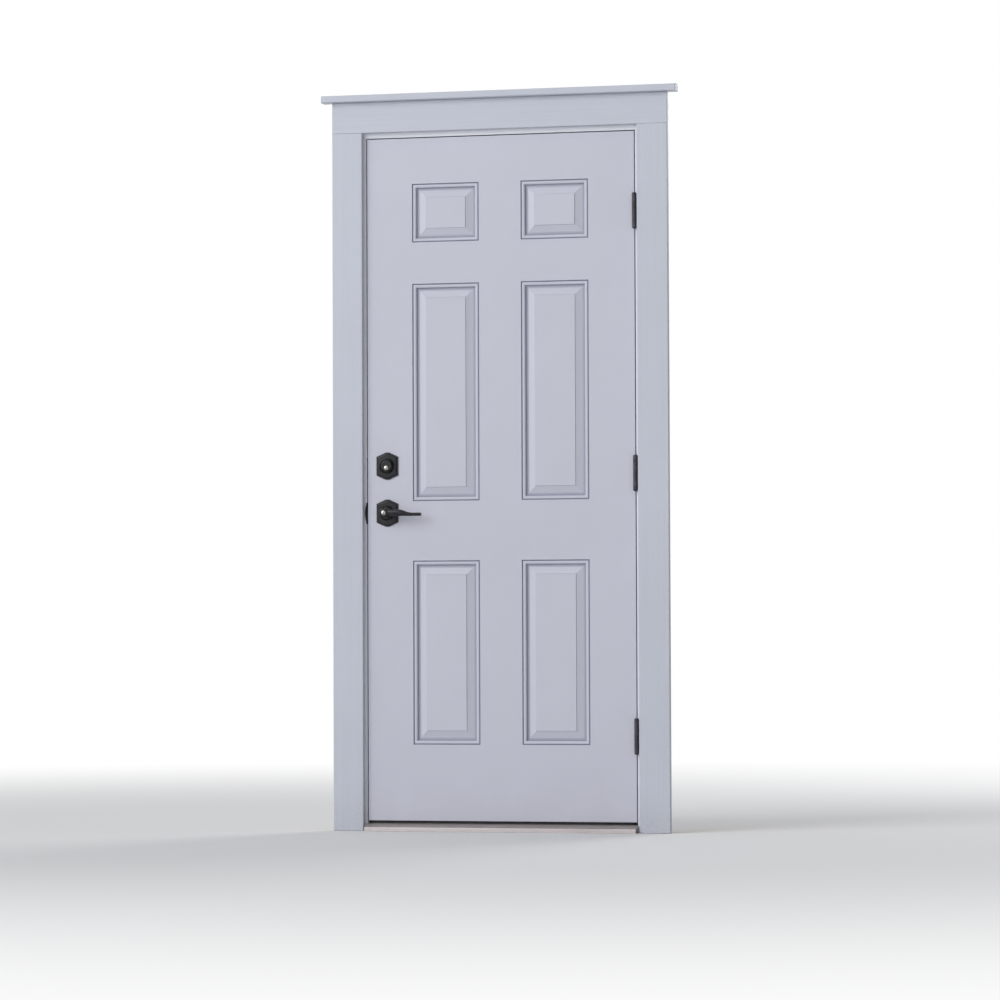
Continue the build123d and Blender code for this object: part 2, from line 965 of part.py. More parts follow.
def strike_hole(z, width, height):
    x = (-rabbet_face - strike_thickness, -rabbet_face)
    return bolt_section(z, width, height, x, strike_hole_margin)


def latch_strike_plate():
    """The plate and its lip, which curls round in front of the jamb's edge."""
    plate = strike_blank(lever_z, 0)
    centre = -rabbet_face - lip_outer_radius
    ring = Circle(lip_outer_radius) - Circle(lip_outer_radius - strike_thickness)
    quarter = Rectangle(lip_outer_radius, lip_outer_radius, align=(Align.MIN, Align.MAX))
    curl = Pos(centre, 0) * (ring & quarter)
    half = lip_height / 2
    lip = upright(curl, (lever_z - half, lever_z + half))
    shape = make_face(
        [
            Line((-rabbet_face, -half), (-rabbet_face, half)),
            ThreePointArc(
                (-rabbet_face, half), (centre, 0), (-rabbet_face, -half)
            ),
        ]
    )
    plane = Plane(origin=(0, 0, lever_z), x_dir=(1, 0, 0), z_dir=(0, -1, 0))
    lip &= extrude(plane * shape, 2 * lip_outer_radius, both=True)
    plate = plate + lip
    return plate - strike_hole(lever_z, latch_head_width, latch_head_height)


def deadbolt_strike_plate():
    hole = strike_hole(bolt_z, bolt_width, bolt_section_height)
    return strike_blank(bolt_z, bolt_strike_front) - hole


def dust_box_space(wall):
    """The latch's pocket behind its strike, less a wall's thickness on each closed side."""
    back = -rabbet_face - strike_thickness
    x = (back - dust_box_depth + wall, back)
    return bolt_section(lever_z, latch_head_width, latch_head_height, x, dust_box_margin - wall)


def latch_dust_box():
    return dust_box_space(0) - dust_box_space(dust_box_wall)


nodes = {
    "hinge_jamb": hinge_jamb(),
    "strike_jamb": strike_jamb(),
    "head_jamb": head_jamb(),
    "sill_base": sill_base(),
    "threshold": threshold(),
    "threshold_bumper": threshold_bumper(),
    "weatherstrip_hinge_side": weatherstrip_hinge_side(),
    "weatherstrip_strike_side": mirror(weatherstrip_hinge_side(), about=Plane.YZ),
    "weatherstrip_head": weatherstrip_head(),
    "casing_right": casing_right(),
    "casing_left": mirror(casing_right(), about=Plane.YZ),
    "casing_head": casing_head(),
    "casing_cap": casing_cap(),
    "latch_strike_plate": latch_strike_plate(),
    "latch_dust_box": latch_dust_box(),
    "deadbolt_strike_plate": deadbolt_strike_plate(),
    "exterior_skin": exterior_skin(),
    "interior_skin": interior_skin(),
    "hinge_stile": hinge_stile(),
    "lock_stile": lock_stile(),
    "top_rail": inner_rail((slab_top - inner_rail_height, slab_top)),
    "bottom_rail": inner_rail((slab_bottom, slab_bottom + inner_rail_height)),
    "lock_block": lock_block(),
    "foam_core": foam_core(),
    "door_sweep": door_sweep(),
    "lever_rose_exterior": lever_rose_exterior(),
    "lever_rose_interior": lever_rose_interior(),
    "deadbolt_rose_exterior": deadbolt_rose_exterior(),
    "deadbolt_rose_interior": deadbolt_rose_interior(),
    "lever_exterior": lever_exterior(),
    "lever_interior": lever_interior(),
    "spindle": spindle(),
    "latch_cam": latch_cam(),
    "lever_key_plug": key_plug(lever_z, -lever_projection),
    "lock_button": lock_button(),
    "latch_case": latch_case(),
    "latch_bolt": latch_bolt(),
    "deadbolt_case": deadbolt_case(),
    "deadbolt_bolt": deadbolt_bolt(),
    "deadbolt_cylinder": deadbolt_cylinder(),
    "deadbolt_key_plug": key_plug(bolt_z, -cylinder_projection),
    "thumb_turn": thumb_turn(),
}
for place, height in hinge_places.items():
    nodes[f"hinge_leaf_jamb_{place}"] = hinge_leaf(1, height)
    nodes[f"hinge_leaf_door_{place}"] = hinge_leaf(-1, height)
    nodes[f"hinge_pin_{place}"] = hinge_pin(height)

os.makedirs("parts", exist_ok=True)
for name, shape in nodes.items():
    export_step(shape, os.path.join("parts", name + ".step"))
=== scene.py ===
import math
import random
import bmesh
import bpy
from mathutils import Matrix, Vector


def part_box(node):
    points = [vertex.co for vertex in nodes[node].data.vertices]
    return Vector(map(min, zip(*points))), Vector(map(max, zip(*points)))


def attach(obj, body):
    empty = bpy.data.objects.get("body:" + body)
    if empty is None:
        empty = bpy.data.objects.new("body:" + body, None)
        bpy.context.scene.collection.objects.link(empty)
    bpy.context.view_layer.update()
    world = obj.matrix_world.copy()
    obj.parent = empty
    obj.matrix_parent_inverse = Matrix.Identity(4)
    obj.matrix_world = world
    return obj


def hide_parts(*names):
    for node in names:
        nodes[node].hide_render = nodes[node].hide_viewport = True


# Panelled front door in its frame, seen from outside. Metres, in the frame of the CAD model:
# X across the doorway towards the hinges, Y into the house, Z up.

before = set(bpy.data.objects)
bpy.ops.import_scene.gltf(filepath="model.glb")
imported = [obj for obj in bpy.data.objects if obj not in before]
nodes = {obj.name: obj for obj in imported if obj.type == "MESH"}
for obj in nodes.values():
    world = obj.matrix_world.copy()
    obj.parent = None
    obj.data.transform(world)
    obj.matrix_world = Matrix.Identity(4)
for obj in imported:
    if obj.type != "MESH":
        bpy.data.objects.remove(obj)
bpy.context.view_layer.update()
chance = random.Random(7)
print("frame loaded:", len(nodes), "nodes")

door = {
    "halfWidth": 0.403,
    "bottom": 0.030,
    "top": 2.037,
    "thickness": 0.0445,
    "lockX": -0.343,
    "leverZ": 0.9325,
    "boltZ": 1.065,
    "cylinderRise": 0.006,
    "hingeX": 0.4045,
    "hingeY": -0.008,
    "hingeZ": {"top": 1.804, "middle": 1.04125, "bottom": 0.2785},
}
lockX, leverZ, boltZ = door["lockX"], door["leverZ"], door["boltZ"]


# shader tools

def tone(red, green, blue):
    # a colour written as on a screen, 0 to 255, made linear
    def linear(value):
        value /= 255
        return value / 12.92 if value <= 0.04045 else ((value + 0.055) / 1.055) ** 2.4
    return (linear(red), linear(green), linear(blue), 1)


def shift(colour, factor, lift=0):
    # the same colour, a little lighter or darker
    return tuple(min(1, part * factor + lift) for part in colour[:3]) + (1,)


def drawn(along, scale, stretched):
    # a noise scale for each axis, for a pattern drawn out along one of them
    return tuple(stretched if axis == along else scale for axis in "xyz")


def feed(tree, socket, value):
    # a link, a plain value or a colour into a node's input
    if isinstance(value, Wire):
        tree.links.new(value.socket, socket)
    else:
        socket.default_value = value


class Wire:
    # an output of a node; sums on it add Math nodes
    def __init__(self, tree, socket):
        self.tree = tree
        self.socket = socket

    def maths(self, operation, first, second=None):
        node = self.tree.nodes.new("ShaderNodeMath")
        node.operation = operation
        feed(self.tree, node.inputs[0], first)
        if second is not None:
            feed(self.tree, node.inputs[1], second)
        return Wire(self.tree, node.outputs[0])

    def __add__(self, other):
        return self.maths("ADD", self, other)

    __radd__ = __add__

    def __sub__(self, other):
        return self.maths("SUBTRACT", self, other)

    def __rsub__(self, other):
        return self.maths("SUBTRACT", other, self)

    def __mul__(self, other):
        return self.maths("MULTIPLY", self, other)

    __rmul__ = __mul__

    def __pow__(self, other):
        return self.maths("POWER", self, other)

    def __abs__(self):
        return self.maths("ABSOLUTE", self)

    def __gt__(self, other):
        return self.maths("GREATER_THAN", self, other)

    def __lt__(self, other):
        return self.maths("LESS_THAN", self, other)

    def most(self, other):
        return self.maths("MAXIMUM", self, other)

    def least(self, other):
        return self.maths("MINIMUM", self, other)

    def wave(self):
        return self.maths("SINE", self)


class Nodes:
    # the nodes of one material or world, made anew
    def __init__(self, owner, outKind):
        owner.use_nodes = True
        self.tree = owner.node_tree
        self.tree.nodes.clear()
        self.out = self.tree.nodes.new("ShaderNodeOutput" + outKind)

    def node(self, kind, settings, values, output=0):
        # any node: its type, its settings, and the values or links of its sockets
        made = self.tree.nodes.new("ShaderNode" + kind)
        for key, value in settings.items():
            setattr(made, key, value)
        for key, value in values.items():
            feed(self.tree, made.inputs[key], value)
        return Wire(self.tree, made.outputs[output])

    def end(self, shader):
        self.tree.links.new(shader.socket, self.out.inputs[0])

    def rays(self):
        # 1 for what the camera sees straight, in a reflection, and through something clear
        return [self.node("LightPath", {}, {}, f"Is {kind} Ray")
                for kind in ("Camera", "Glossy", "Transmission")]


class Finish(Nodes):
    # a material being made; Principled values that don't vary are set on its sockets
    def __init__(self, name, **fixed):
        self.material = bpy.data.materials.new(name)
        super().__init__(self.material, "Material")
        self.shader = self.tree.nodes.new("ShaderNodeBsdfPrincipled")
        self.end(Wire(self.tree, self.shader.outputs[0]))
        for key, value in fixed.items():
            self.set(key, value)

    def set(self, key, value):
        # baseColor or coatWeight name the sockets Base Color and Coat Weight
        words = "".join(" " + c if c.isupper() else c for c in key)
        feed(self.tree, self.shader.inputs[words.title().replace("Ior", "IOR")], value)

    def place(self):
        return self.node("TexCoord", {}, {}, "Object")

    def axes(self):
        split = self.node("SeparateXYZ", {}, {0: self.place()})
        return [Wire(self.tree, part) for part in split.socket.node.outputs]

    def noise(self, scale, detail=3, rough=0.55, twist=0):
        # scale is one number, or one for each axis where the pattern is drawn out
        where, size = self.place(), scale
        if isinstance(scale, tuple):
            where = self.node("VectorMath", {"operation": "MULTIPLY"}, {0: where, 1: scale})
            size = 1
        return self.node("TexNoise", {}, {
            "Vector": where, "Scale": size, "Detail": detail, "Roughness": rough,
            "Distortion": twist})

    def step(self, value, low, high):
        # 0 before low and 1 past high, with soft ends; low may be the larger
        return self.node("MapRange", {"interpolation_type": "SMOOTHSTEP"}, {
            "Value": value, "From Min": low, "From Max": high})

    def mix(self, share, first, second):
        return self.node("Mix", {"data_type": "RGBA"}, {0: share, 6: first, 7: second}, 2)

    def made(self, base, rough, relief, depth, strength=0.5):
        # colour, roughness and fine relief, and the material that they make
        self.set("baseColor", base)
        self.set("roughness", rough)
        bump = self.node("Bump", {}, {"Height": relief, "Distance": depth, "Strength": strength})
        self.set("normal", bump)
        return self.material


# finishes

paintLook = {
    "slab": tone(192, 193, 205),
    "trim": tone(190, 194, 205),
    # lighter than the trim: partly a whiter paint on the jambs, partly painted light that lifts the
    # reveal strip where the casing shades it
    "jamb": tone(222, 224, 231),
    "dirt": tone(158, 156, 156),
    # painted shade, laid into the panels' quirks, grooves and step feet
    "groove": tone(122, 126, 146),
    "bareWood": tone(220, 196, 156),
    "bareWoodDark": tone(190, 154, 108),
    "sill": tone(176, 170, 168),
}

# where the paint ends: further out and up the frame is bare, and further back the trim
paintEnd = {
    "frameSide": 0.4247,
    "frameTop": 2.0587,
    "trimBack": -0.0002,
    "slabSkim": 0.0002,         # the slab's wood is painted this deep from its edges
}

softLook = {
    "foam": tone(236, 222, 176),
    "foamPore": tone(204, 182, 122),
    "seal": tone(112, 110, 110),
    "sweep": tone(48, 47, 48),
}

metalLook = {
    "mill": tone(194, 187, 187),
    "millWorn": tone(174, 166, 165),
    "millScratch": tone(216, 212, 210),
    "black": tone(13, 13, 18),
    "blackCloud": tone(25, 25, 33),
    "blackRubbed": tone(74, 60, 52),
    "rubbed": 0.5,              # how much of the black finish is rubbed to brown
    "hinge": tone(48, 49, 56),
    "hingeCloud": tone(66, 67, 74),
    "hingeSpots": tone(118, 110, 104),
    "steel": tone(178, 178, 182),
    "steelCloud": tone(206, 205, 204),
    "nickel": tone(186, 186, 180),
    "nickelScuff": tone(146, 145, 139),
    # painted shade towards the plug's rim, where its face dips into the bore
    "nickelRim": tone(120, 117, 108),
    "nickelRimAt": (0.0052, 0.0064),
    "nickelGrooves": 16000,     # turning marks, in radians over a metre
    # painted shade down in the keyway
    "keyway": tone(26, 24, 22),
    "keywayDepth": (0.0002, 0.0012),    # from where to where it darkens
    "leverPlugFace": 0.0476,
    "boltPlugFace": 0.0166,
}


def bareWoodColour(finish, along):
    # pine with its rings drawn out along the grain
    rings = finish.noise(drawn(along, 55, 2.2), 4, 0.6, 1.2)
    pores = finish.noise(drawn(along, 495, 19.8), 2, 0.5)
    mask = finish.step(rings + pores * 0.25, 0.42, 0.78)
    return finish.mix(mask, paintLook["bareWood"], paintLook["bareWoodDark"])


def brushedPaint(name, colour, along, bare=None):
    # satin paint on wood: brush marks and a little of the grain run along each board
    finish = Finish(name, specularIorLevel=0.4)
    x, y, z = finish.axes()
    marks = finish.noise(drawn(along, 900, 14), 2)
    grain = finish.noise(drawn(along, 120, 1.6), 4, 0.6, 0.4)
    patch = finish.noise(2.6, 2)
    speck = finish.noise(310, 2)
    share = finish.step(grain * 0.45 + patch * 0.55, 0.34, 0.66)
    base = finish.mix(share, shift(colour, 0.965), shift(colour, 1.02))
    splash = finish.step(z + (patch - 0.5) * 0.12, 0.16, 0.0) * finish.step(speck, 0.35, 0.7)
    base = finish.mix(splash * 0.5, base, paintLook["dirt"])
    rough = 0.40 + patch * 0.10 + splash * 0.2
    if bare:
        mask = bare(x, y, z)
        base = finish.mix(mask, base, bareWoodColour(finish, along))
        rough = rough + mask * 0.3
    return finish.made(base, rough, marks * 0.35 + grain * 0.65, 0.00035, 0.55)


def bareOuterFaces(x, y, z):
    # the frame's faces against the studs and the header are never painted
    return (abs(x) > paintEnd["frameSide"]).most(z > paintEnd["frameTop"])


def bareBack(x, y, z):
    return y > paintEnd["trimBack"]


def slabPaint():
    # sprayed satin paint on the moulded skins, dusty low down, with painted shade in the panels'
    # quirks, grooves and the feet of their steps
    finish = Finish("slabPaint", specularIorLevel=0.45)
    z = finish.axes()[2]
    peel = finish.noise(420, 2)
    fineGrain = finish.noise(drawn("z", 260, 22), 3, 0.6, 0.3)
    patch = finish.noise(1.7, 3)
    smudge = finish.noise(9, 4)
    share = finish.step(patch * 0.7 + smudge * 0.3, 0.36, 0.64)
    base = finish.mix(share, shift(paintLook["slab"], 0.985), shift(paintLook["slab"], 1.015))
    # painted shade in the panels' creases, as much as each point of the skin carries
    dust = finish.node("Attribute", {"attribute_name": "dust"}, {}, "Fac")
    base = finish.mix((dust * (0.8 + smudge * 0.4)).least(1), base, paintLook["groove"])
    low = finish.step(z + (smudge - 0.5) * 0.2, 0.14, 0.02) * (0.05 + smudge * 0.15)
    base = finish.mix(low, base, paintLook["dirt"])
    return finish.made(
        base, 0.36 + patch * 0.08 + peel * 0.05 + low * 0.2, peel * 0.5 + fineGrain * 0.5, 0.0002)


def edgePaint(name, along):
    # the slab's stiles and rails: painted on the outside edge, bare wood within
    finish = Finish(name, specularIorLevel=0.4)
    x, _, z = finish.axes()
    skim = paintEnd["slabSkim"]
    painted = (abs(x) > door["halfWidth"] - skim).most(z > door["top"] - skim)
    painted = painted.most(z < door["bottom"] + skim)
    marks = finish.noise(drawn(along, 700, 9), 3)
    edge = finish.mix(marks * 0.4, paintLook["slab"], paintLook["dirt"])
    base = finish.mix(painted, bareWoodColour(finish, along), edge)
    return finish.made(base, 0.75 - painted * 0.3 + marks * 0.05, marks, 0.0003)


def foamFinish():
    finish = Finish("foamCells")
    cells = finish.node("TexVoronoi", {}, {"Vector": finish.place(), "Scale": 900})
    base = finish.mix(cells, softLook["foam"], softLook["foamPore"])
    return finish.made(base, 0.9, cells, 0.0006, 0.8)


def sealFinish(name, colour):
    # extruded soft vinyl with some dust on it
    finish = Finish(name, specularIorLevel=0.3)
    dust = finish.noise(38, 4)
    skin = finish.noise(700, 2)
    base = finish.mix(finish.step(dust, 0.45, 0.75) * 0.5, colour, shift(colour, 1.9, 0.02))
    return finish.made(base, 0.62 + dust * 0.2, skin, 0.0002)


def millAluminium():
    # extruded threshold: fine lines along it, worn patches and scratches
    finish = Finish("millAluminium", metallic=0.85, specularIorLevel=0.5)
    lines = finish.noise(drawn("x", 1500, 7), 3)
    wear = finish.noise(drawn("x", 30, 5), 4, 0.65)
    scratch = finish.noise((60, 600, 40), 3, 0.7, 2)
    worn = finish.step(wear, 0.45, 0.7)
    base = finish.mix(worn * 0.7, metalLook["mill"], metalLook["millWorn"])
    base = finish.mix(finish.step(scratch, 0.6, 0.72) * 0.5, base, metalLook["millScratch"])
    return finish.made(
        base, 0.42 + worn * 0.08 + lines * 0.06, lines * 0.6 + scratch * 0.4, 0.00015)


def blackMetal():
    # near-black finish on cast and turned metal, rubbed to brown here and there
    finish = Finish("blackMetal", metallic=0.3, coatRoughness=0.12, specularIorLevel=0.28)
    cloud = finish.noise(60, 4, 0.6)
    cast = finish.noise(900, 2)
    rubbed = finish.noise(170, 5, 0.7)
    mask = finish.step(rubbed + cloud * 0.4, 0.72, 0.95) * metalLook["rubbed"]
    share = finish.step(cloud, 0.35, 0.65)
    base = finish.mix(share, metalLook["black"], metalLook["blackCloud"])
    base = finish.mix(mask * 0.7, base, metalLook["blackRubbed"])
    finish.set("coatWeight", 0.42 - mask * 0.35)
    return finish.made(base, 0.34 + cloud * 0.14 + mask * 0.15, cast * 0.6 + cloud * 0.4, 0.00012)


def hingeMetal():
    # weathered dark plating, dulled and spotted outdoors
    finish = Finish("hingeMetal", metallic=0.45, specularIorLevel=0.4)
    cloud = finish.noise(45, 5, 0.65)
    spots = finish.noise(420, 3, 0.7)
    mask = finish.step(spots + cloud * 0.3, 0.66, 0.86)
    share = finish.step(cloud, 0.35, 0.65)
    base = finish.mix(share, metalLook["hinge"], metalLook["hingeCloud"])
    base = finish.mix(mask * 0.6, base, metalLook["hingeSpots"])
    return finish.made(base, 0.42 + cloud * 0.12 + mask * 0.15, spots, 0.00012)


def platedSteel(name, along):
    # zinc or nickel on steel, ground along one way
    finish = Finish(name, metallic=1.0)
    ground = finish.noise(drawn(along, 1400, 30), 3)
    cloud = finish.noise(80, 4)
    base = finish.mix(cloud, metalLook["steel"], metalLook["steelCloud"])
    return finish.made(base, 0.24 + ground * 0.18 + cloud * 0.06, ground, 0.00006)


def turnedNickel(name, z, face):
    # a plug's face, turned on a lathe and scuffed by keys, with painted shade towards its rim and
    # down in the keyway
    finish = Finish(name, metallic=1.0)
    px, py, pz = finish.axes()
    away = ((px - lockX) ** 2 + (pz - z) ** 2) ** 0.5
    rings = (away * metalLook["nickelGrooves"]).wave()
    scuff = finish.noise(900, 4, 0.7, 1.5)
    base = finish.mix(finish.step(scuff, 0.4, 0.7), metalLook["nickel"], metalLook["nickelScuff"])
    # painted shade: darker towards the rim, where the face dips into the bore
    edge = finish.step(away, *metalLook["nickelRimAt"])
    base = finish.mix(edge * 0.55, base, metalLook["nickelRim"])
    # painted shade: darker the deeper into the keyway
    start, end = (depth - face for depth in metalLook["keywayDepth"])
    base = finish.mix(finish.step(py, start, end), base, metalLook["keyway"])
    return finish.made(base, 0.22 + scuff * 0.16, rings * 0.3 + scuff * 0.5, 0.00004)


finishes = {
    "slab": slabPaint(),
    "jambUp": brushedPaint("jambPaintUp", paintLook["jamb"], "z", bareOuterFaces),
    "jambAcross": brushedPaint("jambPaintAcross", paintLook["jamb"], "x", bareOuterFaces),
    "trimUp": brushedPaint("trimPaintUp", paintLook["trim"], "z", bareBack),
    "trimAcross": brushedPaint("trimPaintAcross", paintLook["trim"], "x", bareBack),
    "edgeUp": edgePaint("slabEdgeUp", "z"),
    "edgeAcross": edgePaint("slabEdgeAcross", "x"),
    "sill": brushedPaint("sillPrimer", paintLook["sill"], "x"),
    "foam": foamFinish(),
    "seal": sealFinish("sealVinyl", softLook["seal"]),
    "sweep": sealFinish("sweepVinyl", softLook["sweep"]),
    "threshold": millAluminium(),
    "black": blackMetal(),
    "hinge": hingeMetal(),
    "steelX": platedSteel("platedSteelAlongX", "x"),
    "steelZ": platedSteel("platedSteelAlongZ", "z"),
    "leverPlug": turnedNickel("leverPlugMetal", leverZ, metalLook["leverPlugFace"]),
    "boltPlug": turnedNickel("boltPlugMetal", boltZ, metalLook["boltPlugFace"]),
}
# the finishes that the pieces and the kept CAD nodes take, by name
print("finishes made:", len(finishes))


# mesh tools

def meshOf(shape, name):
    mesh = bpy.data.meshes.new(name)
    shape.to_mesh(mesh)
    shape.free()
    return mesh


def newObject(name, data):
    made = bpy.data.objects.new(name, data)
    bpy.context.scene.collection.objects.link(made)
    return made


def addPiece(name, shape, body, finish, stands=(), crease=32):
    # turns a bmesh into a piece on its body
    bmesh.ops.recalc_face_normals(shape, faces=shape.faces)
    piece = newObject(name, meshOf(shape, name))
    for face in piece.data.polygons:
        face.use_smooth = True
    piece.data.set_sharp_from_angle(angle=math.radians(crease))
    piece.data.materials.append(finishes[finish])
    even = piece.modifiers.new("evenShading", "WEIGHTED_NORMAL")
    even.keep_sharp = True
    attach(piece, body)
    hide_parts(*stands)


def same(a, b):
    return abs(a - b) < 1e-6


def loft(shape, rings, ends="closed"):
    # rings of the same number of points, joined by quads; joined ends leave a hole through the form
    rows = [[shape.verts.new(p) for p in ring] for ring in rings]
    count = len(rows[0])
    if ends == "joined":
        rows.append(rows[0])
    for a, b in zip(rows, rows[1:]):
        for i in range(count):
            j = (i + 1) % count
            shape.faces.new((a[i], a[j], b[j], b[i]))
    if ends == "closed":
        shape.faces.new(rows[0])
        shape.faces.new(rows[-1])


def circle(radius, count):
    angles = [2 * math.pi * i / count for i in range(count)]
    return [(radius * math.cos(angle), radius * math.sin(angle)) for angle in angles]


def outside(u, v, out, z):
    # from a place on the slab's outer face, and how far it stands out, to the frame
    return Vector((lockX + u, -out, z + v))


def inside(u, v, out, z):
    return Vector((lockX + u, door["thickness"] + out, z + v))


def turned(shape, side, z, profile, count=72):
    # a turned form on the lock's axis: profile is (radius, out) from the slab outwards
    loft(shape, [[side(a, b, out, z) for a, b in circle(radius, count)] for radius, out in profile])


def upright(shape, x, y, profile, count):
    # a turned form on an upright axis: profile is (radius, height)
    loft(shape, [[Vector((x + a, y + b, z)) for a, b in circle(radius, count)]
                 for radius, z in profile])


def rounding(radius, out, size, degrees):
    # the rounded rim of a turned form
    turns = [math.radians(angle) for angle in degrees]
    return [(radius - size * (1 - math.cos(t)), out - size * (1 - math.sin(t))) for t in turns]


def roundedBox(shape, low, high, radius, segments=3, edgeTest=None):
    low, high = Vector(low), Vector(high)
    made = bmesh.ops.create_cube(shape, size=1)["verts"]
    for vert in made:
        vert.co = Vector(low[i] + (vert.co[i] + 0.5) * (high[i] - low[i]) for i in range(3))
    edges = list({e for v in made for e in v.link_edges})
    if edgeTest:
        edges = [e for e in edges if edgeTest(e.verts[0].co, e.verts[1].co)]
    bmesh.ops.bevel(
        shape, geom=edges, offset=radius, segments=segments, profile=0.5, affect="EDGES")


def solidSum(first, second, operation):
    # two closed forms made one, or the second cut out of the first
    holders = []
    for form in (first, second):
        bmesh.ops.recalc_face_normals(form, faces=form.faces)
        holders.append(newObject("form", meshOf(form, "form")))
    cut = holders[0].modifiers.new("sum", "BOOLEAN")
    cut.object = holders[1]
    cut.operation = operation
    cut.solver = "EXACT"
    bpy.context.view_layer.update()
    graph = bpy.context.evaluated_depsgraph_get()
    mesh = bpy.data.meshes.new_from_object(holders[0].evaluated_get(graph))
    result = bmesh.new()
    result.from_mesh(mesh)
    bpy.data.meshes.remove(mesh)
    for holder in holders:
        old = holder.data
        bpy.data.objects.remove(holder)
        bpy.data.meshes.remove(old)
    return result


# slab skins

skin = {
    "thickness": 0.002,
    "stile": 0.137,
    "mullion": 0.126,
    "rows": [(0.2522, 0.5401), (0.9666, 0.6404), (1.7287, 0.1736)],  # low edge and height
    "lead": 0.003,          # flat margin round each panel
    "boreRadius": 0.027,
    "boreCell": 0.030,
    "borePoints": 60,
    "edgeRound": 0.0009,
    "mortiseDepth": 0.0025,
    "mortiseHalf": 0.0508,
    # the front's section in millimetres, run in from the panel's line and depth:
    # steps to the next point, and before the point of a bend its two handles
    "front": [
        (1, (0.25, 0.15)), (1, (1.0, 2.75)),
        (4, (1.3, 3.4), (2.4, 3.4), (3.0, 2.9)),
        (7, (3.7, 1.6), (4.8, 0.9), (6.4, 0.9)),
        (8, (8.8, 0.9), (10.8, 1.4), (12.1, 3.2)),
        (7, (12.9, 4.6), (12.9, 7.0), (13.8, 8.1)),
        (3, (14.2, 8.5), (14.8, 8.5), (15.3, 8.5)),
        (1, (20.6, 8.5)),
        (3, (21.3, 8.5), (21.8, 8.4), (22.4, 8.2)),
        (1, (40.6, 2.4)),
        (3, (40.9, 2.3), (41.0, 2.0), (41.1, 1.6)),
        (4, (41.25, 0.9), (41.5, 0.5), (42.3, 0.5)),
    ],
    "back": [(10, 9.5), (22, 9.5), (48, 3)],
    # painted shade in the quirk, the groove and the foot of the step: from, to and how much
    "dust": [(0.3, 3.6, 1.0), (12.3, 15.3, 0.65), (15.3, 21.6, 0.3), (40.7, 41.3, 0.6)],
}


def mouldingFront():
    # smooth where the CAD has flats
    points = [(0, 0)]
    for count, *bend in skin["front"]:
        marks = [points[-1]] + bend
        for i in range(1, count + 1):
            t = i / count
            s = 1 - t
            shares = (s, t) if len(bend) == 1 else (s ** 3, 3 * s * s * t, 3 * s * t * t, t ** 3)
            points.append(tuple(sum(w * mark[k] for w, mark in zip(shares, marks)) for k in (0, 1)))
    return points


# how much painted shade a point of the front's section carries
def creaseShadeAt(run):
    for start, end, amount in skin["dust"]:
        if start <= run <= end:
            return amount
    return 0


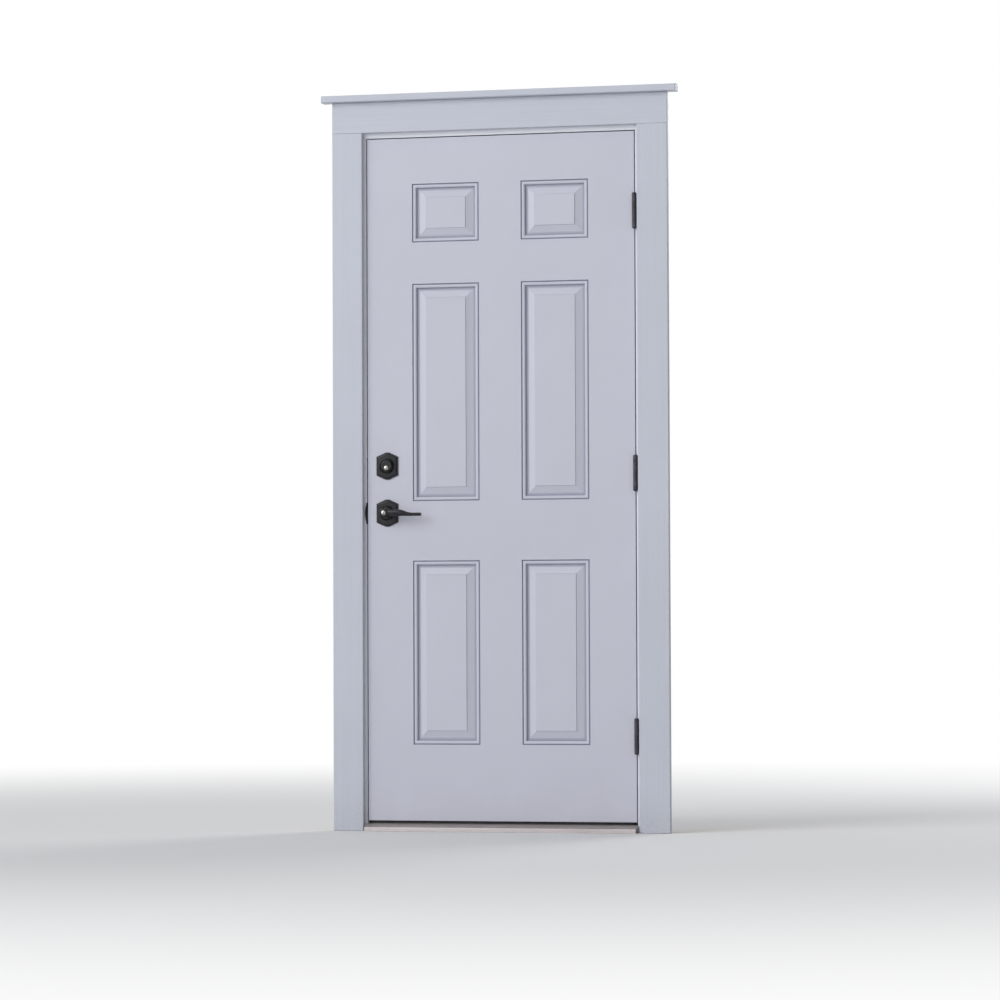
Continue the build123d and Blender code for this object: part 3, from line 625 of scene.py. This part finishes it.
def skinShape(outer):
    shape = bmesh.new()
    # each point's share of painted shade in the creases
    dust = shape.verts.layers.float.new("dust")
    spots = {}

    def spot(x, depth, z):
        key = (round(x, 7), round(depth, 7), round(z, 7))
        if key not in spots:
            spots[key] = shape.verts.new((x, depth if outer else door["thickness"] - depth, z))
        return spots[key]

    def face(*corners):
        # each corner is a place on the slab, and how deep it lies
        shape.faces.new([spot(x, depth, z) for (x, z), depth in corners])

    half = door["halfWidth"]
    panels = []
    for left in (skin["stile"] - half, skin["mullion"] / 2):
        width = half - skin["stile"] - skin["mullion"] / 2
        for low, height in skin["rows"]:
            panels.append((left, left + width, low, low + height))
    lead = skin["lead"]
    mortises = []
    if outer:
        reach = skin["mortiseHalf"]
        for z in door["hingeZ"].values():
            mortises.append((half - skin["mortiseDepth"], half, z - reach, z + reach))
    bores = [(lockX, leverZ), (lockX, boltZ)]
    xs, zs = {-half, half}, {door["bottom"], door["top"]}
    for a, b, c, d in panels:
        xs |= {a - lead, b + lead}
        zs |= {c - lead, d + lead}
    for a, b, c, d in mortises:
        xs |= {a}
        zs |= {c, d}
    cell = skin["boreCell"]
    for x, z in bores:
        xs |= {x - cell, x + cell}
        zs |= {z - cell, z + cell}
    xs, zs = sorted(xs), sorted(zs)

    def kind(i, k):
        if not (0 <= i < len(xs) - 1 and 0 <= k < len(zs) - 1):
            return "air"
        x, z = (xs[i] + xs[i + 1]) / 2, (zs[k] + zs[k + 1]) / 2
        for a, b, c, d in mortises:
            if a < x < b and c < z < d:
                return "air"
        for a, b, c, d in panels:
            if a - lead < x < b + lead and c - lead < z < d + lead:
                return "panel"
        for bx, bz in bores:
            if abs(x - bx) < cell and abs(z - bz) < cell:
                return "bore"
        return "flat"

    back = skin["thickness"]
    for i in range(len(xs) - 1):
        for k in range(len(zs) - 1):
            if kind(i, k) != "flat":
                continue
            x0, x1, z0, z1 = xs[i], xs[i + 1], zs[k], zs[k + 1]
            corners = [(x0, z0), (x1, z0), (x1, z1), (x0, z1)]
            for depth in (0, back):
                face(*((corner, depth) for corner in corners))
            for n, (right, up) in enumerate([(0, -1), (1, 0), (0, 1), (-1, 0)]):
                if kind(i + right, k + up) == "air":
                    p, q = corners[n], corners[(n + 1) % 4]
                    face((p, 0), (q, 0), (q, back), (p, back))

    def sidesOf(a, b, c, d):
        # the grid's points round a block, a list for each side
        return [
            [(x, c) for x in xs if a <= x <= b],
            [(b, z) for z in zs if c <= z <= d],
            [(x, d) for x in reversed(xs) if a <= x <= b],
            [(a, z) for z in reversed(zs) if c <= z <= d]]

    count = skin["borePoints"]
    quarter = count // 4
    for bx, bz in bores:
        sides = sidesOf(bx - cell, bx + cell, bz - cell, bz + cell)
        # the circle starts at the block's lower left corner
        turns = [math.radians(225 + 360 * n / count) for n in range(count)]
        radius = skin["boreRadius"]
        rim = [(bx + radius * math.cos(a), bz + radius * math.sin(a)) for a in turns]
        for depth in (0, back):
            for q in range(4):
                arc = [rim[(quarter * q + n) % count] for n in range(quarter, -1, -1)]
                face(*((p, depth) for p in sides[q] + arc))
        for p, q in zip(rim, rim[1:] + rim[:1]):
            face((p, 0), (q, 0), (q, back), (p, back))

    for a, b, c, d in panels:
        sides = sidesOf(a - lead, b + lead, c - lead, d + lead)
        for rings, depth in ((mouldingFront(), 0), (skin["back"], back)):
            tops = [[(p, depth) for p in row] for row in sides]
            for run, deep in rings:
                amount = creaseShadeAt(run) if depth == 0 else 0
                run, deep = run / 1000, deep / 1000
                x0, x1, z0, z1 = a + run, b - run, c + run, d - run
                ring = [(x0, z0), (x1, z0), (x1, z1), (x0, z1)]
                for x, z in ring:
                    spot(x, deep, z)[dust] = amount
                rows = [[(ring[q], deep), (ring[(q + 1) % 4], deep)] for q in range(4)]
                for top, row in zip(tops, rows):
                    face(*top, *reversed(row))
                tops = rows
            face(*(row[0] for row in tops))

    bmesh.ops.recalc_face_normals(shape, faces=shape.faces)
    front = 0 if outer else door["thickness"]
    rims = []
    for edge in shape.edges:
        p, q = (vert.co for vert in edge.verts)
        if same(p.y, front) and same(q.y, front):
            upright = same(abs(p.x), half) and same(abs(q.x), half) and p.x * q.x > 0
            level = same(p.z, q.z) and (same(p.z, door["bottom"]) or same(p.z, door["top"]))
            if upright or level:
                rims.append(edge)
    bmesh.ops.bevel(
        shape, geom=rims, offset=skin["edgeRound"], segments=3, profile=0.5, affect="EDGES")
    return shape


for name, node, outer in (("outerSkin", "exterior_skin", True),
                          ("innerSkin", "interior_skin", False)):
    addPiece(name, skinShape(outer), "door", "slab", [node], 20)
print("skins moulded")


# outside trim

trim = {"round": 0.0018, "capRound": 0.0035, "segments": 4}


def trimBoard(name, node, finish, radius):
    # the CAD board with soft worn edges in front
    low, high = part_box(node)
    shape = bmesh.new()

    def atFront(p, q):
        return same(p.y, low.y) and same(q.y, low.y)

    roundedBox(shape, low, high, radius, trim["segments"], atFront)
    addPiece(name, shape, "frame", finish, [node])


trimBoard("casingLeft", "casing_left", "trimUp", trim["round"])
trimBoard("casingRight", "casing_right", "trimUp", trim["round"])
trimBoard("casingHead", "casing_head", "trimAcross", trim["round"])
trimBoard("casingCap", "casing_cap", "trimAcross", trim["capRound"])
print("trim made")


# screws

screw = {
    "headRadius": 0.0040,
    "rise": 0.00035,
    "slotLength": 0.0046,
    "slotWidth": 0.0010,
    "slotDepth": 0.0014,
}


def screwHead():
    # a flat countersunk head with a cross recess, its axis along +Z
    shape = bmesh.new()
    r, rise = screw["headRadius"], screw["rise"]
    profile = [(r * 0.55, -0.0022), (r, -0.0002), (r, 0.0), (r - 0.0003, rise * 0.8),
               (r - 0.0010, rise)]
    upright(shape, 0, 0, profile, 28)
    long, wide = screw["slotLength"] / 2, screw["slotWidth"] / 2
    for u, v in ((long, wide), (wide, long)):
        cutter = bmesh.new()
        steps = [(1.0, rise + 0.001), (1.0, rise * 0.9), (0.45, rise - screw["slotDepth"])]
        loft(cutter, [[Vector((sx * u * share, sy * v * share, out))
                       for sx, sy in ((-1, -1), (1, -1), (1, 1), (-1, 1))]
                      for share, out in steps])
        shape = solidSum(shape, cutter, "DIFFERENCE")
    return meshOf(shape, "screwHead")


screwMesh = screwHead()


def screwRow(name, body, finish, places, out, scale=1.0):
    # places on a plate, and the way that its face looks
    shape = bmesh.new()
    turn = Vector((0, 0, 1)).rotation_difference(Vector(out)).to_matrix().to_4x4()
    for place in places:
        spin = Matrix.Rotation(chance.uniform(0, math.pi), 4, "Z")
        single = screwMesh.copy()
        single.transform(Matrix.Translation(place) @ turn @ spin @ Matrix.Scale(scale, 4))
        shape.from_mesh(single)
        bpy.data.meshes.remove(single)
    addPiece(name, shape, body, finish)


# hinges

hinge = {
    "half": 0.0508,
    "leaf": 0.0025,
    "leafFront": -0.0005,
    "depth": 0.038,
    "gapHalf": 0.0015,
    "knuckle": 0.0065,
    "knuckleEnd": 0.0006,
    "knuckleGap": 0.0002,
    "pin": 0.0031,
    "tip": 0.0052,
    "tipRise": 0.0024,
    "tipEnd": 0.0004,
    "tipSteps": 6,
    "screws": [(0.013, -0.039), (0.027, -0.014), (0.013, 0.014), (0.027, 0.039)],  # in, up
}


def hingeLeaf(place, sign):
    # one leaf with its knuckles; sign is 1 on the jamb and -1 on the slab
    z0, x0, y0 = door["hingeZ"][place], door["hingeX"], door["hingeY"]
    half, gap = hinge["half"], hinge["gapHalf"]
    shape = bmesh.new()
    near, far = sorted((sign * gap, sign * (gap + hinge["leaf"])))
    roundedBox(shape, (x0 + near, hinge["leafFront"], z0 - half),
               (x0 + far, hinge["depth"], z0 + half), 0.0003, 2)
    pitch = half * 2 / 3
    r, e = hinge["knuckle"], hinge["knuckleEnd"]
    ends = [(r - e, 0), (r - e * 0.3, e * 0.3), (r, e)]
    for n in ((0, 2) if sign > 0 else (1,)):
        low = z0 - half + n * pitch + hinge["knuckleGap"] / 2
        high = low + pitch - hinge["knuckleGap"]
        profile = [(radius, low + up) for radius, up in ends]
        profile += [(radius, high - up) for radius, up in reversed(ends)]
        upright(shape, x0, y0, profile, 48)
        roundedBox(shape, (x0 + near, y0, low), (x0 + far, 0.0, high), 0.0002, 1)
    side, body = ("Jamb", "frame") if sign > 0 else ("Door", "door")
    node = f"hinge_leaf_{side.lower()}_{place}"
    addPiece(f"hinge{side}_{place}", shape, body, "hinge", [node])
    places = [Vector((x0 + sign * gap, y, z0 + z)) for y, z in hinge["screws"]]
    screwRow(f"hingeScrews{side}_{place}", body, "hinge", places, (-sign, 0, 0))


def hingePin(place):
    # the pin, with a button tip at each end
    z0, x0, y0 = door["hingeZ"][place], door["hingeX"], door["hingeY"]
    shape = bmesh.new()
    profile = []
    for sign in (-1, 1):
        end = sign * hinge["half"]
        arc = [(hinge["pin"], end), (hinge["tip"], end)]
        for n in range(1, hinge["tipSteps"] + 1):
            angle = math.radians(90 * n / hinge["tipSteps"])
            radius = max(hinge["tip"] * math.cos(angle), hinge["tipEnd"])
            arc.append((radius, end + sign * hinge["tipRise"] * math.sin(angle)))
        profile += reversed(arc) if sign < 0 else arc
    upright(shape, x0, y0, [(radius, z0 + z) for radius, z in profile], 40)
    addPiece(f"hingePin_{place}", shape, "frame", "hinge", [f"hinge_pin_{place}"])


for place in door["hingeZ"]:
    hingeLeaf(place, 1)
    hingeLeaf(place, -1)
    hingePin(place)
print("hinges made")


# roses

rose = {
    "halfWidth": 0.03275,
    "sideHalf": 0.0275,
    "halfHeight": 0.040,
    "crownHalf": 0.005,
    "base": 0.004,
    "inset": 0.0045,
    "full": 0.007,
    "between": 8,
    "leverHole": 0.01256,
    "boltHole": 0.01706,
    "turnHole": 0.00806,
    # beads by outer radius, inner radius and top, and collars by radius and how far out
    "leverBeads": [(0.0232, 0.0204, 0.0084), (0.0198, 0.0176, 0.0098)],
    "leverCollar": [(0.0172, 0.0100), (0.0168, 0.0108), (0.0160, 0.0110)],
    "boltBeads": [(0.0236, 0.0210, 0.0086), (0.0206, 0.0186, 0.0098)],
    "boltCollar": [(0.0182, 0.0100)],
    "insideBead": [(0.0222, 0.0196, 0.0080)],
    "turnBead": [(0.0150, 0.0110, 0.0086)],
    "beadSteps": 6,
}


def roseCorners(inset):
    # the outline moved in by inset, as eight corners
    w, s, h, c = rose["halfWidth"], rose["sideHalf"], rose["halfHeight"], rose["crownHalf"]
    outline = [(w, -s), (w, s), (c, h), (-c, h), (-w, s), (-w, -s), (-c, -h), (c, -h)]
    lines = []
    for (ax, ay), (bx, by) in zip(outline, outline[1:] + outline[:1]):
        dx, dy = bx - ax, by - ay
        size = math.hypot(dx, dy)
        nx, ny = -dy / size, dx / size          # points inwards
        lines.append((ax + nx * inset, ay + ny * inset, dx, dy))
    corners = []
    for (ax, ay, adx, ady), (bx, by, bdx, bdy) in zip(lines[-1:] + lines[:-1], lines):
        cross = adx * bdy - ady * bdx
        t = ((bx - ax) * bdy - (by - ay) * bdx) / cross
        corners.append((ax + adx * t, ay + ady * t))
    return corners


def roseRing(inset):
    # the same with points along its sides
    corners = roseCorners(inset)
    points = []
    for (ax, ay), (bx, by) in zip(corners, corners[1:] + corners[:1]):
        for n in range(rose["between"]):
            t = n / rose["between"]
            points.append((ax + (bx - ax) * t, ay + (by - ay) * t))
    return points


def roundRing(radius):
    # as many points as the outline, at the same angles
    return [(radius * math.cos(a), radius * math.sin(a))
            for a in (math.atan2(v, u) for u, v in roseRing(0))]


def roseShape(side, z, hole, raised):
    # raised: (radius, out) of the turned rings in the middle, from the outermost in
    shape = bmesh.new()
    base, full, inset = rose["base"], rose["full"], rose["inset"]
    edge = [(0, 0), (0, base - 0.0009), (0.0003, base - 0.0003), (0.0010, base),
            (inset - 0.0004, base), (inset, base + 0.0004), (inset + 0.0004, full - 0.0010),
            (inset + 0.0009, full - 0.0003), (inset + 0.0018, full)]
    rings = [(roseRing(depth), out) for depth, out in edge]
    rings += [(roundRing(radius), out) for radius, out in raised]
    rings += [(roundRing(hole), raised[-1][1]), (roundRing(hole), 0)]
    loft(shape, [[side(u, v, out, z) for u, v in ring] for ring, out in rings], "joined")
    return shape


def beads(rows):
    # half-round rings on the rose's face
    points = []
    for outer, inner, top in rows:
        middle, half, rise = (outer + inner) / 2, (outer - inner) / 2, top - rose["full"]
        for n in range(rose["beadSteps"] + 1):
            angle = math.pi * n / rose["beadSteps"]
            points.append((middle + half * math.cos(angle), rose["full"] + rise * math.sin(angle)))
    return points


leverRings = beads(rose["leverBeads"]) + rose["leverCollar"]
boltRings = beads(rose["boltBeads"]) + rose["boltCollar"]
insideRings = beads(rose["insideBead"])
turnRings = beads(rose["insideBead"] + rose["turnBead"])
cylinderZ = boltZ + door["cylinderRise"]
for name, node, side, z, hole, raised in (
        ("leverRoseOutside", "lever_rose_exterior", outside, leverZ, "leverHole", leverRings),
        ("leverRoseInside", "lever_rose_interior", inside, leverZ, "leverHole", insideRings),
        ("boltRoseOutside", "deadbolt_rose_exterior", outside, cylinderZ, "boltHole", boltRings),
        ("boltRoseInside", "deadbolt_rose_interior", inside, boltZ, "turnHole", turnRings)):
    addPiece(name, roseShape(side, z, rose[hole], raised), "door", "black", [node])
print("roses made")


# levers

lever = {
    "out": 0.047,
    "centreOut": 0.0375,
    "rootHalf": 0.0075,
    "bladeHalf": 0.0054,
    "tipReturn": 0.004,
    "returnStart": 0.055,
    "returnRun": 0.06,
    "under": 0.010,
    "rise": 0.010,
    "shoulder": 0.040,
    "bladeStart": 0.084,
    "length": 0.111,
    "step": 0.004,
    "tip": [(0.0013, 0.95), (0.0004, 0.84), (0.0, 0.66)],   # back from the end, how thick
    "hub": 0.0125,
    "hubRound": 0.0024,
    "neck": 0.0112,
    "points": 40,
    "ridge": 1.55,          # powers of the section, low ones sharp: the ridge in front, the back,
    "back": 3.2,            # its height, and its fullness
    "upright": 2.6,
    "full": 2.3,
    "plugBore": 0.00756,
    "buttonBore": 0.00556,
    "boreDepth": 0.018,
}


def ease(value):
    value = min(max(value, 0), 1)
    return value * value * (3 - 2 * value)


def leverSection(side, x, shrink=1.0):
    # flat-bottomed, with a ridge along the front that keeps to the hub's middle
    fall = ease((x - lever["shoulder"]) / (lever["bladeStart"] - lever["shoulder"]))
    top = lever["rise"] * (1 - fall)
    half = (top + lever["under"]) / 2
    middle = (top - lever["under"]) / 2
    thick = lever["rootHalf"] + (lever["bladeHalf"] - lever["rootHalf"]) * fall
    back = ease((x - lever["returnStart"]) / lever["returnRun"])
    out = lever["centreOut"] - lever["tipReturn"] * back
    ring = []
    for n in range(lever["points"]):
        angle = 2 * math.pi * n / lever["points"]
        c, s = math.cos(angle), math.sin(angle)
        power = lever["ridge"] if c > 0 else lever["back"]
        reach = (abs(c) ** power + abs(s) ** lever["upright"]) ** (-1 / lever["full"])
        a = c * reach * thick * shrink
        b = s * reach * half * shrink
        limit = thick * shrink
        ring.append(side(x, middle + max(-half * shrink, min(half * shrink, b)),
                         out + max(-limit, min(limit, a)), leverZ))
    return ring


def leverShape(side, bore):
    hub = bmesh.new()
    r, neck, out, z = lever["hub"], lever["neck"], lever["out"], leverZ
    foot = out - lever["boreDepth"]
    profile = [(r, 0.0), (r, 0.0126), (neck + 0.0004, 0.0140), (neck, 0.0160), (neck, 0.0235),
               (neck + 0.0004, 0.0265), (r - 0.0002, 0.0295), (r, 0.0310)]
    profile += rounding(r, out, lever["hubRound"], (0, 22, 45, 68, 90))
    profile += [(bore + 0.0014, out), (bore + 0.0010, out - 0.0004), (bore, out - 0.0005),
                (bore, foot)]
    turned(hub, side, z, profile)
    handle = bmesh.new()
    step, end = lever["step"], lever["length"]
    stations = [step * n for n in range(-1, int(end / step))] + [end - 0.003]
    rings = [leverSection(side, x) for x in stations]
    rings += [leverSection(side, end - short, shrink) for short, shrink in lever["tip"]]
    loft(handle, rings)
    hole = bmesh.new()
    turned(hole, side, z, [(bore, foot), (bore, out + 0.002)])
    return solidSum(solidSum(hub, handle, "UNION"), hole, "DIFFERENCE")


for name, node, side, bore in (("leverOutside", "lever_exterior", outside, "plugBore"),
                               ("leverInside", "lever_interior", inside, "buttonBore")):
    addPiece(name, leverShape(side, lever[bore]), "lever_set", "black", [node], 38)
print("levers made")


# key plugs

plug = {
    "proud": 0.0006,
    "length": 0.018,
    "points": 64,
    # radius, and depth under the middle of the face
    "face": [(0.0075, 0.00162), (0.00723, 0.00108), (0.0066, 0.000765), (0.0052, 0.00042),
             (0.0036, 0.0002), (0.0020, 0.00006), (0.0008, 0)],
    "keywayDepth": 0.014,
    # the warded slot of a pin lock, in millimetres from the middle
    "keyway": [(-0.9, -5.0), (0.9, -5.0), (0.9, -2.6), (0.3, -2.0), (0.3, -1.0), (0.9, -0.4),
               (0.9, 3.0), (-0.3, 3.0), (-0.3, 1.2), (-0.9, 0.6), (-0.9, -1.4), (-0.4, -2.0),
               (-0.4, -3.0), (-0.9, -3.6)],
}


def keyPlug(z, face):
    shape, slot = bmesh.new(), bmesh.new()
    out = face + plug["proud"]
    profile = [(plug["face"][0][0], face - plug["length"] + 0.0001)]
    profile += [(radius, out - depth) for radius, depth in plug["face"]]
    turned(shape, outside, z, profile, plug["points"])
    loft(slot, [[outside(u / 1000, v / 1000, d, z) for u, v in plug["keyway"]]
                for d in (out - plug["keywayDepth"], out + 0.002)])
    return solidSum(shape, slot, "DIFFERENCE")


cylinder = {
    "radius": 0.017,
    "out": 0.016,
    "round": 0.0022,
    "groove": [(0, 0.0060), (0.0004, 0.0057), (0.0004, 0.0048), (0, 0.0045)],   # in, under the rim
    "bore": 0.00756,
    "points": 72,
}

for name, node, z, face in (("leverPlug", "lever_key_plug", leverZ, lever["out"]),
                            ("boltPlug", "deadbolt_key_plug", boltZ, cylinder["out"])):
    addPiece(name, keyPlug(z, face), node, name, [node])


# deadbolt cylinder

def cylinderShape():
    # the housing, with the plug's bore below its middle
    shape = bmesh.new()
    r, out, e, bore = cylinder["radius"], cylinder["out"], cylinder["round"], cylinder["bore"]
    body = [(r, 0)] + [(r - deep, out - under) for deep, under in cylinder["groove"]]
    body += rounding(r, out, e, (0, 20, 40, 60, 80)) + [(r - e, out), (r - e - 0.0004, out)]
    hole = [(bore + 0.0005, out), (bore, out - 0.0004), (bore, 0)]
    profile = [(*row, cylinderZ) for row in body] + [(*row, boltZ) for row in hole]
    loft(shape, [[outside(a, b, d, z) for a, b in circle(radius, cylinder["points"])]
                 for radius, d, z in profile], "joined")
    return shape


addPiece("boltCylinder", cylinderShape(), "door", "black", ["deadbolt_cylinder"])


# lock button

button = {
    "radius": 0.0055,
    "leverFace": 0.047,
    "length": 0.0179,
    "proud": 0.005,
    "bar": 0.0015,
    "barHeight": 0.003,
    "barShort": 0.0003,
    "barRound": 0.0007,
}


def buttonShape():
    # a small round button with a bar to turn it by
    shape, bar = bmesh.new(), bmesh.new()
    r, face = button["radius"], button["leverFace"]
    out = face + button["proud"] - button["barHeight"]
    profile = [(r, face - button["length"]), (r, out - 0.0005), (r - 0.0002, out - 0.0001),
               (r - 0.0006, out)]
    turned(shape, inside, leverZ, profile, 48)
    half, reach, top = button["bar"], r - button["barShort"], out + button["barHeight"]
    roundedBox(bar, inside(-half, -reach, out - 0.001, leverZ), inside(half, reach, top, leverZ),
               button["barRound"], 3)
    return solidSum(shape, bar, "UNION")


addPiece("lockButton", buttonShape(), "lock_button", "black", ["lock_button"])


# thumb turn

turn = {
    "boss": [(0.008, 0.0), (0.008, 0.0090), (0.0074, 0.0100), (0.0068, 0.0125), (0.0068, 0.016),
             (0.005, 0.019)],
    # half height, half width, how far out, and how square
    "grip": [(0.0052, 0.0052, 0.0140, 2.0), (0.0085, 0.0056, 0.0170, 2.2),
             (0.0140, 0.0052, 0.0200, 2.8), (0.0172, 0.0050, 0.0230, 2.8),
             (0.0180, 0.0052, 0.0255, 2.8), (0.0177, 0.0050, 0.0276, 2.8),
             (0.0168, 0.0042, 0.0286, 2.8), (0.0154, 0.0030, 0.0290, 2.8)],
    "points": 48,
    "tailHalf": (0.0012, 0.003),
    "tailFrom": -0.0043,
    "tailTo": 0.0445,
    "throw": 0.0254,
    "armHalf": 0.002,
    "armFrom": 0.02075,
    "armTo": 0.02375,
    "pinHalf": 0.0016,
    "pinFrom": 0.02225,
    "pinTo": 0.02665,
}


def gripRing(halfHeight, halfWidth, out, power):
    ring = []
    for n in range(turn["points"]):
        angle = 2 * math.pi * n / turn["points"]
        c, s = math.cos(angle), math.sin(angle)
        reach = (abs(c) ** power + abs(s) ** power) ** (-1 / power)
        ring.append(inside(c * reach * halfWidth, s * reach * halfHeight, out, boltZ))
    return ring


def thumbTurnShape():
    # the grip on its boss, the tailpiece through the door, and the cam that drives the bolt
    boss, grip, cam = bmesh.new(), bmesh.new(), bmesh.new()
    turned(boss, inside, boltZ, turn["boss"], turn["points"])
    loft(grip, [gripRing(*row) for row in turn["grip"]])
    shape = solidSum(boss, grip, "UNION")
    u, v = turn["tailHalf"]
    roundedBox(shape, (lockX - u, turn["tailFrom"], boltZ - v),
               (lockX + u, turn["tailTo"], boltZ + v), 0.0003, 1)
    # a quarter turn carries the pin through the bolt's throw
    reach = turn["throw"] / math.sqrt(2)
    for kind, start, end in (("arm", -0.004, reach + turn["armHalf"]),
                             ("pin", reach - turn["pinHalf"], reach + turn["pinHalf"])):
        half, near, far = (turn[kind + word] for word in ("Half", "From", "To"))
        roundedBox(cam, (start, near, -half), (end, far, half), 0.0003, 1)
    cam.transform(Matrix.Translation((lockX, 0, boltZ)) @ Matrix.Rotation(math.radians(45), 4, "Y"))
    holder = meshOf(cam, "cam")
    shape.from_mesh(holder)
    bpy.data.meshes.remove(holder)
    return shape


addPiece("thumbTurn", thumbTurnShape(), "thumb_turn", "black", ["thumb_turn"], 38)
print("plugs, cylinder and turns made")


# fixings of the plates

fixings = {
    "case": 0.0225,         # from the plate's middle to each screw
    "strike": 0.0245,
    "rose": 0.0305,
    "strikeX": -0.406,
    "latchStrikeY": 0.017,
    "boltStrikeY": 0.022,
}


def pair(x, y, z, reach):
    return [Vector((x, y, z + s * reach)) for s in (-1, 1)]


edgeX, middleY = -door["halfWidth"], door["thickness"] / 2
roseY = door["thickness"] + rose["full"]
for name, z in (("latch", leverZ), ("bolt", boltZ)):
    places = pair(edgeX, middleY, z, fixings["case"])
    screwRow(f"{name}CaseScrews", "door", "steelZ", places, (-1, 0, 0), 0.9)
for name, z in (("latch", leverZ), ("bolt", boltZ)):
    places = pair(fixings["strikeX"], fixings[name + "StrikeY"], z, fixings["strike"])
    screwRow(f"{name}StrikeScrews", "frame", "black", places, (1, 0, 0), 0.95)
for name, z in (("lever", leverZ), ("bolt", boltZ)):
    places = pair(lockX, roseY, z, fixings["rose"])
    screwRow(f"{name}RoseScrews", "door", "black", places, (0, 1, 0), 0.85)
print("fixings made")


# finishes of the CAD nodes that stay

kept = {
    "jambUp": ["hinge_jamb", "strike_jamb"],
    "jambAcross": ["head_jamb"],
    "sill": ["sill_base"],
    "threshold": ["threshold"],
    "seal": ["weatherstrip_hinge_side", "weatherstrip_strike_side", "weatherstrip_head"],
    "sweep": ["threshold_bumper", "door_sweep"],
    "edgeUp": ["hinge_stile", "lock_stile", "lock_block"],
    "edgeAcross": ["top_rail", "bottom_rail"],
    "foam": ["foam_core"],
    "black": ["latch_strike_plate", "deadbolt_strike_plate"],
    "steelZ": ["latch_dust_box", "latch_case", "deadbolt_case", "latch_cam"],
    "steelX": ["spindle", "latch_bolt", "deadbolt_bolt"],
}
for finish, names in kept.items():
    for name in names:
        for place in nodes[name].material_slots:
            place.material = finishes[finish]
print("kept nodes finished:", sum(len(names) for names in kept.values()))


# floor, light and camera

stage = {
    "floorRadius": 45,
    "floorDrop": 0.0004,
    "floor": tone(220, 220, 221),
    "fadeStart": 1.6,
    "fadeEnd": 6.5,
    "world": (0.97, 0.985, 1.0, 1),
    "worldStrength": 0.33,
    "worldLean": 1.1,               # how much brighter the world is on the side it leans to
    "worldSide": (-0.85, -0.15, 0.50),
    # place, watts, size and colour
    "lamps": {
        "keyLamp": ((-7.0, -9.0, 6.0), 860, 7.5, (0.98, 0.99, 1.0)),
        "fillLamp": ((4.2, -6.0, 0.8), 46, 3.0, (1, 1, 1)),
        "backLamp": ((2.5, 5.5, 4.2), 170, 3.0, (1, 1, 1)),
    },
    "aim": (0, 0, 1.05),
}


def makeFloor():
    # pale floor that fades to plain white far from the door
    shape = bmesh.new()
    edge = circle(stage["floorRadius"], 96)
    shape.faces.new([shape.verts.new((a, b, -stage["floorDrop"])) for a, b in edge])
    floor = newObject("floor", meshOf(shape, "floor"))
    look = Finish("floorPaint", baseColor=stage["floor"], roughness=0.8)
    x, y, _ = look.axes()
    straight, mirrored, through = look.rays()
    away = look.step((x * x + y * y) ** 0.5, stage["fadeStart"], stage["fadeEnd"])
    share = away * straight.most(mirrored).most(through)
    paint = Wire(look.tree, look.shader.outputs[0])
    white = look.node("Emission", {}, {"Strength": 1.0})
    look.end(look.node("MixShader", {}, {0: share, 1: paint, 2: white}))
    floor.data.materials.append(look.material)


def makeWorld():
    world = bpy.data.worlds.new("studio")
    bpy.context.scene.world = world
    sky = Nodes(world, "World")
    straight, mirrored, through = sky.rays()
    # a soft gradient, as under an open sky with a house on one side
    where = sky.node("TexCoord", {}, {}, "Generated")
    towards = sky.node("VectorMath", {"operation": "DOT_PRODUCT"}, {
        0: where, 1: stage["worldSide"]}, "Value")
    strength = (1 + towards * stage["worldLean"]).most(0) * stage["worldStrength"]
    light = sky.node("Background", {}, {0: stage["world"], 1: strength})
    # polished parts mirror the same gradient, so that their edges show
    strength = 1 + mirrored * ((towards * 0.8 + 0.5).most(0.05) - 1)
    white = sky.node("Background", {}, {0: (1, 1, 1, 1), 1: strength})
    share = straight.most(mirrored).most(through)
    sky.end(sky.node("MixShader", {}, {0: share, 1: light, 2: white}))


makeFloor()
makeWorld()
for name, (place, watts, size, colour) in stage["lamps"].items():
    lamp = bpy.data.lights.new(name, "AREA")
    lamp.energy, lamp.size, lamp.color = watts, size, colour
    holder = newObject(name, lamp)
    holder.location = place
    holder.rotation_mode = "QUATERNION"
    holder.rotation_quaternion = (Vector(stage["aim"]) - Vector(place)).to_track_quat("-Z", "Y")

camera = {"place": (2.817, -11.340, 0.590), "yaw": 13.96, "pitch": 1.85, "roll": -0.21, "lens": 144}
yaw, pitch, roll = (math.radians(camera[key]) for key in ("yaw", "pitch", "roll"))
right = Vector((math.cos(yaw), math.sin(yaw), 0))
up = Vector((math.sin(yaw) * math.sin(pitch), -math.cos(yaw) * math.sin(pitch), math.cos(pitch)))
forward = Vector((
    -math.sin(yaw) * math.cos(pitch), math.cos(yaw) * math.cos(pitch), math.sin(pitch)))
sideways = right * math.cos(roll) + up * math.sin(roll)
upwards = up * math.cos(roll) - right * math.sin(roll)
eye = bpy.data.cameras.new("photoCamera")
eye.lens = camera["lens"]
eye.sensor_width = 36
eye.clip_end = 200
holder = newObject("photoCamera", eye)
turnTo = Matrix((sideways, upwards, -forward)).transposed().to_4x4()
holder.matrix_world = Matrix.Translation(camera["place"]) @ turnTo
bpy.context.scene.camera = holder
bpy.context.scene.view_settings.view_transform = "Standard"
print("stage ready")
